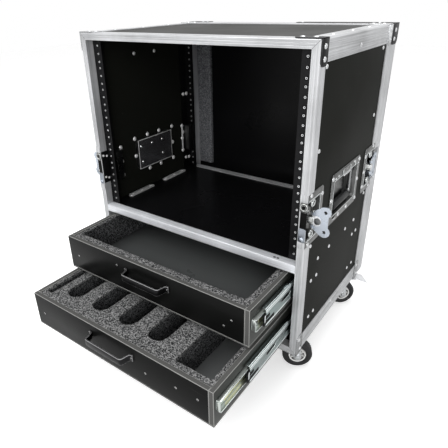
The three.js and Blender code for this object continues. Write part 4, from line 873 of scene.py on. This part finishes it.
for end, seam, inward, hub_y in (("front", front_y, 1, -0.04525), ("rear", rear_y, -1, 0.26495)):
    node = f"latch_dish_{end}_right"
    seam_place = (face_x, seam, latch_z)
    parts = [bevelled(copied_from(node, fitting_zinc), 0.0006, fitting_polish_and_highlight, angle=40)]
    rivets = [(face_x, seam + inward * latch_rivet_away, z) for z in latch_rivet_z]
    rivets += [(face_x, seam + inward * 0.0125, z) for z in (0.4295, 0.3365)]
    parts += rivet_heads(rivets, outwards, *fitting_rivet)
    parts += plates(seam_place, bead_plates, inward)
    # two bosses are pressed up from the pan's floor near the seam, their centres painted dark as
    # shade
    for rise in (0.03, -0.03):
        y, z = seam + inward * 0.0235, latch_z + rise
        parts += [
            disc((boss_floor, y, z), outwards, 0.0078, face_x - boss_floor + 0.0002,
                 fitting_zinc, fitting_polish_and_highlight, ease=0.0012),
            ring((face_x + 0.0002, y, z), outwards, 0.0052, 0.0012, fitting_polish_and_highlight),
            disc((face_x, y, z), outwards, 0.0026, 0.0007, fitting_painted_shade, fitting_polish_and_highlight, 14, 0.0002),
        ]
    parts += plates(seam_place, fold_plates, inward)
    leaf_places = [(0.2446, seam + inward * away, latch_z + rise) for away, rise in leaf_rivets]
    parts += rivet_heads(leaf_places, inwards, 0.003, 0.0012, tail_zinc_painted_light)
    out_of_seam = (0, -inward, 0)
    boss_x, boss_face = 0.2532, seam - inward * 0.0008
    eye = (boss_x, boss_face, latch_z + 0.0285)
    parts.append(ring(eye, out_of_seam, 0.0062, 0.0011, hub_steel))
    # the eye's centre is painted dark as shade
    parts.append(disc(eye, out_of_seam, 0.0038, 0.0009, fitting_painted_shade, hub_steel, 14, 0.0003))
    low_boss = (boss_x, boss_face, latch_z - 0.033)
    parts += rivet_heads([low_boss], out_of_seam, 0.0052, 0.0034, fold_zinc)
    pair(f"latch_plate_{end}_right", parts, replaced=(node,))

    # the raised hub shows a round boss in the bay of its wing, a bright disc with a darker disc set
    # off to its side, painted as the light and shade of a domed end; the folded one shows a low
    # round face painted bright as highlight
    node = f"latch_hub_{end}_right"
    hub_low, hub_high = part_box(node)
    parts = [
        bevelled(copied_from(node, hub_steel), 0.0005, fitting_polish_and_highlight, angle=40),
        disc((hub_low[0] + 0.003, hub_y, latch_z), outwards, 0.0118, 0.0022, fitting_zinc,
             fitting_polish_and_highlight),
    ]
    if end == "front":
        boss = Vector((0.2692, hub_y - 0.0012, latch_z))
        boss_shade_spot = boss + Vector((0.0026, -0.0021, 0))
        parts.append(disc(boss, forwards, 0.0094, 0.0022, boss_painted_highlight, boss_painted_highlight, 28, 0.0006))
        parts.append(disc(boss_shade_spot, forwards, 0.0064, 0.0003, boss_painted_shade, ease=0.0001))
    else:
        parts.append(disc((hub_high[0] - 0.0004, hub_y, latch_z), outwards, 0.0068, 0.0009,
                          boss_painted_highlight, fitting_polish_and_highlight, ease=0.0003))
    pair(f"latch_turn_{end}_right", parts, node, replaced=(node,))

    node = f"latch_wing_{end}_right"
    wing = copied_from(node, wing_zinc)
    bpy.ops.object.shade_smooth_by_angle(angle=radians(40))
    pair(f"latch_butterfly_{end}_right", [wing], node, (node,))

# Recessed handles: a pressed dish, dark zinc plated, with a drop bail whose bar carries a black
# rubber grip. Its top band is pressed with ribs and pips over the spring; the dish is riveted to
# the side, and the pan's back stands a little proud of the board inside the case.
grip_rubber = laminate("rubber of the grips", (0.016, 0.017, 0.018), 0.42, 0.3, relief=0.0001)
back_zinc = metal("pressed back of the pan", (0.16, 0.16, 0.17), 0.22, 25, 0.7, metallic=0.8)
low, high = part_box("handle_dish_right")
back_x, face_x = low[0], high[0]
_, handle_y, handle_z = [(a + b) / 2 for a, b in zip(low, high)]
pan_y, pan_z = 0.0625, 0.037
back_y, back_z = pan_y - 0.0015, pan_z - 0.0015
band_z = (pan_z + 0.002, high[2] - handle_z - 0.0035)
rib_half = 0.0014


def bars_round(y, z, x0, x1, wide, finish):
    """Rows of four thin bars round a rectangle that reaches y and z from its middle."""
    look = (0.0004, finish, None, 0.0002)
    return [
        *((x0, x1, -y - wide, y + wide, side - wide, side + wide, 1, *look) for side in (-z, z)),
        *((x0, x1, side - wide, side + wide, -z - wide, z + wide, 2, *look) for side in (-y, y)),
    ]


def handle_rivets(x, places, outward, *sizes_and_finish):
    """Rivet heads at places counted from the handle's middle."""
    places = [(x, handle_y + y, handle_z + z) for y, z in places]
    return rivet_heads(places, outward, *sizes_and_finish)


parts = [bevelled(copied_from("handle_dish_right", fitting_zinc), 0.0007, fitting_polish_and_highlight, angle=40)]
parts += plates((face_x, handle_y, handle_z), [
    *bars_round(pan_y, pan_z, -0.0004, 0.0008, 0.0009, fitting_polish_and_highlight),
    # the band over the pan, its ribs and the lip under it
    (-0.0003, 0.0013, -0.024, 0.019, *band_z, 0, 0.003, fitting_zinc, fitting_polish_and_highlight, 0.0005),
    *((-0.0002, 0.0021, y - rib_half, y + rib_half, *band_z, 0, 0.0012, fitting_polish_and_highlight, None, 0.0005)
      for y in (-0.022, 0.0165, 0.043)),
    (-0.002, 0.0014, -0.017, 0.021, 0.0328, 0.0358, 0, 0.001, zinc_polished_and_highlit, None, 0.0005),
    # a slot under the pan, a plate painted dark as its shade, with a lip along it polished and
    # painted bright as highlight
    (-0.0003, 0.0002, -0.0545, -0.0405, -0.044, -0.039, 0, 0.001, fitting_painted_shade, None, 0.0001),
    (-0.0003, 0.0016, -0.0545, -0.0405, -0.0459, -0.0437, 0, 0.001, zinc_polished_and_highlit),
])
pips = ((-0.042, 0.0415), (-0.056, 0.0402), (-0.003, 0.0445), (0.042, 0.0455), (0.0662, 0.0365))
parts += handle_rivets(face_x, pips, outwards, 0.0021, 0.0016, fitting_polish_and_highlight)
dish_rivets = [(-0.07, 0.0435), (-0.07, 0.0), (0.07, 0.0435), (0.07, 0.0), (0.07, -0.0435),
               (0.0185, -0.0445), (-0.0245, -0.0445)]
parts += handle_rivets(face_x, dish_rivets, outwards, 0.0043, 0.0024)
# the pan's back inside the case, and the tails of the rivets around it and of the latches
parts += plates((back_x, handle_y, handle_z), [
    *bars_round(pan_y - 0.001, pan_z - 0.001, -0.0003, 0.0008, 0.0011, tail_zinc_painted_light),
    (-0.0004, 0.0004, -back_y, back_y, -back_z, back_z, 0, 0.002, back_zinc, None, 0.0002),
])
back_pips = [(back_x - 0.0004, y, z) for y, z in (
    (0.1002, 0.4031), (0.139, 0.4033), (0.0608, 0.4031), (0.1392, 0.3667), (0.0633, 0.363))]
parts += rivet_heads(back_pips, inwards, 0.0045, 0.0022, fitting_polish_and_highlight)
tail = (0.0054, 0.0028, tail_zinc_painted_light)
dish_tails = [*dish_rivets, (-0.0245, 0.0445), (0.0185, 0.0445)]
latch_tails = [(inner_side, seam + way * latch_rivet_away, z)
               for seam, way in ((front_y, 1), (rear_y, -1)) for z in latch_rivet_z]
parts += handle_rivets(inner_side, dish_tails, inwards, *tail)
parts += rivet_heads(latch_tails, inwards, *tail)
parts.append(plate((inner_side - 0.0024, 0.2225, 0.3525), (inner_side, 0.2262, 0.4225), 0,
                   0.0005, tail_zinc_painted_light))
frame_tails = [(inner_side, y, z)
               for y, z in ((0.2514, 0.5006), (0.2378, 0.3244), (0.2514, 0.322))]
parts += rivet_heads(frame_tails, inwards, 0.0052, 0.0022, tail_zinc_painted_light)
pair("handle_plate_right", parts, replaced=("handle_dish_right",))

node = "handle_bail_right"
bail_x = face_x - 0.009
grip_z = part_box(node)[0][2] + 0.007
grip_half = 0.0425
along_grip = (0, 1, 0)
parts = [
    bevelled(copied_from(node, zinc_plate), 0.0003, angle=60, steps=1),
    disc((bail_x, handle_y - grip_half, grip_z), along_grip, 0.0074, 2 * grip_half, grip_rubber,
         sides=28, ease=0.0016),
]
for y in (0.004 - grip_half, grip_half - 0.004):
    parts.append(ring((bail_x, handle_y + y, grip_z), along_grip, 0.0073, 0.0006, grip_rubber, 28))
pair("handle_drop_right", parts, node, (node,))

# Rear lid: an aluminium rim with a black laminate panel let into it and foam strips down its
# inside. Its top corners are braced in black, and it is riveted over the latches' strikes.
(_, lid_front, _), (_, lid_back, _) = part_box("lid_rim")
seam_back = lid_front + 0.0052
coated(solids["lid_rim"], mitred_metal("aluminium of the lid", "lid_rim", lid_face))
# the lid's panel takes the inside laminate, darkened as painted shade
coated(solids["lid_panel"], inner_laminate_painted_shade)
lid_foam = foam("grey strip foam", (0.26, 0.265, 0.28), (0.08, 0.082, 0.088), 0.0012)
for side in ("right", "left"):
    foam_block(f"lid_crumb_foam_{side}", f"lid_foam_{side}", "rear_lid", lid_foam, lid_foam)


def lid_brace(leg):
    """A black angle over a top corner of the lid, its lower rear corner rounded."""
    return top_brace(
        seam_back + 0.0012, lid_back - 0.0009, leg, black_finishes,
        [(-0.00015, 0.012), (-0.00415, 0.0285)], [(0.034, 0.00585), (leg - 0.012, 0.00585)],
        side_rounding=0.011, top_y0=seam_back + 0.0132)


gathered("lid_brace_top_right", lid_brace(0.218), "rear_lid")
gathered("lid_brace_top_left", mirrored(lid_brace(0.06)), "rear_lid")
strike_rivets = [(seam_back + 0.0265, z) for z in (0.4215, 0.3445)]
heads = side_rivets(case_side - 0.0002, strike_rivets, 1, *fitting_rivet)
gathered("lid_rivets", heads, "rear_lid")

# Bottom board with its caster plates: laminate, with four pressed zinc plates and ball races
# bolted under it.
base = coated(copied_from("bottom_panel", outer_laminate), outer_laminate, zinc_plate)
board_under = board_low - 0.0002
for face in base.data.polygons:
    if face.center.z < board_under - 0.0001:
        face.material_index = 1
bolts = [(x + dx, y + dy, board_under - 0.0036)
         for x in (-0.21, 0.21) for y in (-0.01065, 0.25275)
         for dx in (-0.033, 0.033) for dy in (-0.022, 0.022)]
parts = [bevelled(base, 0.0003, angle=40, steps=1)]
parts += rivet_heads(bolts, (0, 0, -1), 0.0058, 0.0032, zinc_plate)
gathered("bottom_board", parts, replaced=("bottom_panel",))

# Swivel casters: pressed zinc forks that turn on ball races, with rubber tyres on pale moulded
# rims. The rear pair have a brake pedal. Each wheel turns on a bolt with a nut.
tyre_rubber = laminate("tyre rubber", (0.022, 0.022, 0.023), 0.5, scuff=0.7, relief=0.0002)
rim_pale = laminate("pale moulded rim", (0.8, 0.8, 0.79), 0.4, scuff=0.3, shine=0.4)
rim_shade = laminate("shaded web of the rim", (0.2, 0.2, 0.2), 0.5, scuff=0.3)
pedal_pale = metal("pale zinc of the pedals", (0.82, 0.83, 0.85), 0.35, 60, 0.25, metallic=0.4)
caster_zinc = metal("caster zinc", (0.6, 0.62, 0.63), 0.28, 40, spread=0.4)
wheel_half, fork_gap, fork_thick, washer_thick = 0.0125, 0.0015, 0.0025, 0.0012
nut_reach = wheel_half + fork_gap + fork_thick + washer_thick
shoulder_x, shoulder = 0.0262, 0.0058
# half a profile each, as (radius, along the axle) from the bore outwards
tyre_half = [(0.0185, wheel_half - 0.003), (0.0225, wheel_half), (0.0245, wheel_half)] + [
    (shoulder_x + shoulder * cos(angle), wheel_half - shoulder + shoulder * sin(angle))
    for angle in (radians(90 - 16.4 * step) for step in range(6))]
rim_half = [(0.0035, 0.0123), (0.0082, 0.0123), (0.0086, 0.0075), (0.0135, 0.0058),
            (0.0152, 0.0115), (0.0178, 0.0122), (0.0189, 0.0092)]


def turned_ring(half_profile, sides, *finishes):
    """Half a profile and its mirror image, closed and turned round the z axis."""
    profile = half_profile + [(radius, -along) for radius, along in reversed(half_profile)]
    mesh = bpy.data.meshes.new("profile")
    points = [(radius, 0, along) for radius, along in profile]
    mesh.from_pydata(points, [(i, (i + 1) % len(points)) for i in range(len(points))], [])
    piece = bpy.data.objects.new("turned", mesh)
    bpy.context.scene.collection.objects.link(piece)
    selected(piece)
    bpy.ops.object.mode_set(mode="EDIT")
    bpy.ops.mesh.select_all(action="SELECT")
    bpy.ops.mesh.spin(steps=sides, angle=2 * pi, center=(0, 0, 0), axis=(0, 0, 1))
    bpy.ops.mesh.select_all(action="SELECT")
    bpy.ops.mesh.remove_doubles(threshold=0.00002)
    bpy.ops.mesh.normals_make_consistent(inside=False)
    bpy.ops.object.mode_set(mode="OBJECT")
    bpy.ops.object.shade_smooth_by_angle(angle=radians(35))
    return coated(piece, *finishes)


for place in ("front_right", "front_left", "rear_right", "rear_left"):
    node = f"caster_wheel_{place}"
    roll = next(joint for joint in frame["joints"] if joint["child"] == node)
    on_axle = seat(roll["pos_m"], Vector(roll["axis"]).normalized())
    rim = turned_ring(rim_half, 36, rim_pale, rim_shade)
    for face in rim.data.polygons:
        if 0.0085 < face.center.xy.length < 0.0149:
            face.material_index = 1
    parts = [turned_ring(tyre_half, 40, tyre_rubber), rim]
    for number in range(8):
        spoke = plate((0.0078, -0.0011, -0.0102), (0.0152, 0.0011, 0.0102), 0, 0, rim_pale,
                      ease=0.0004)
        spoke.data.transform(Matrix.Rotation(number * pi / 4, 4, "Z"))
        parts.append(spoke)
    for part in parts:
        part.data.transform(on_axle)
    gathered(f"wheel_{place}", parts, node, (node,))

    node = f"caster_fork_{place}"
    parts = [bevelled(copied_from(node, caster_zinc), 0.0005, zinc_polished_and_highlit, angle=40)]
    for way in (0, pi):
        nut_place = on_axle @ Matrix.Rotation(way, 4, "X") @ Matrix.Translation((0, 0, nut_reach))
        nut = disc((0, 0, 0), upwards, 0.0066, 0.0042, caster_zinc, zinc_polished_and_highlit, 6, 0.0006)
        washer = disc((0, 0, -washer_thick), upwards, 0.0082, washer_thick, zinc_polished_and_highlit,
                      sides=20, ease=0.0003)
        for part in (nut, washer):
            part.data.transform(nut_place)
            parts.append(part)
    gathered(f"fork_{place}", parts, node, (node,))
    if place.startswith("rear"):
        node = f"caster_pedal_{place}"
        pedal = bevelled(copied_from(node, pedal_pale), 0.0005, zinc_polished_and_highlit, angle=40)
        gathered(f"pedal_{place}", [pedal], node, (node,))

# Floor and light: a pale seamless floor under a soft, even studio light. A large soft box stands
# high at the front, weaker ones at the right and overhead. The background is white only to the
# camera, in reflections and through clear things.
bpy.data.objects.remove(head_pattern)
bpy.context.scene.view_settings.view_transform = "Standard"
white, pale = (1, 1, 1, 1), (0.86, 0.86, 0.86, 1)
floor = started(bpy.ops.mesh.primitive_plane_add, size=14, location=(0, 0, 0))
floor.name = "floor"
floor_finish = bpy.data.materials.new("pale floor")
floor_finish.use_nodes = True
tree = floor_finish.node_tree
path = added(tree, "LightPath", {}).outputs
filled(tree, tree.nodes["Principled BSDF"], {
    "Base Color": pale, "Roughness": 0.7, "Specular IOR Level": 0.2, "Emission Color": white,
    "Emission Strength": worked_out(tree, "MULTIPLY", path["Is Camera Ray"], 0.5)})
coated(floor, floor_finish)

world = bpy.data.worlds.new("studio")
bpy.context.scene.world = world
world.use_nodes = True
tree = world.node_tree
path = added(tree, "LightPath", {}).outputs
seen = worked_out(tree, "MAXIMUM", path["Is Camera Ray"], path["Is Transmission Ray"])
seen_or_mirrored = worked_out(tree, "MAXIMUM", seen, path["Is Glossy Ray"])
strength = added(tree, "MapRange", {"Value": seen_or_mirrored, "To Min": 0.5, "To Max": 1.0})
filled(tree, tree.nodes["Background"], {"Color": white, "Strength": strength})

for name, place, aim, size, power in (
    ("key light", (-0.9, -2.2, 2.6), (0, 0, 0.3), 2.2, 60),
    ("side light", (1.8, -2.3, 1.5), (-0.1, 0.1, 0.4), 1.4, 34),
    ("top light", (0.2, 0.6, 2.8), (0, 0, 0.4), 2.4, 34),
):
    lamp = started(bpy.ops.object.light_add, type="AREA", location=place)
    lamp.name = name
    lamp.data.size = size
    lamp.data.energy = power
    lamp.rotation_euler = (Vector(aim) - Vector(place)).to_track_quat("-Z", "Y").to_euler()
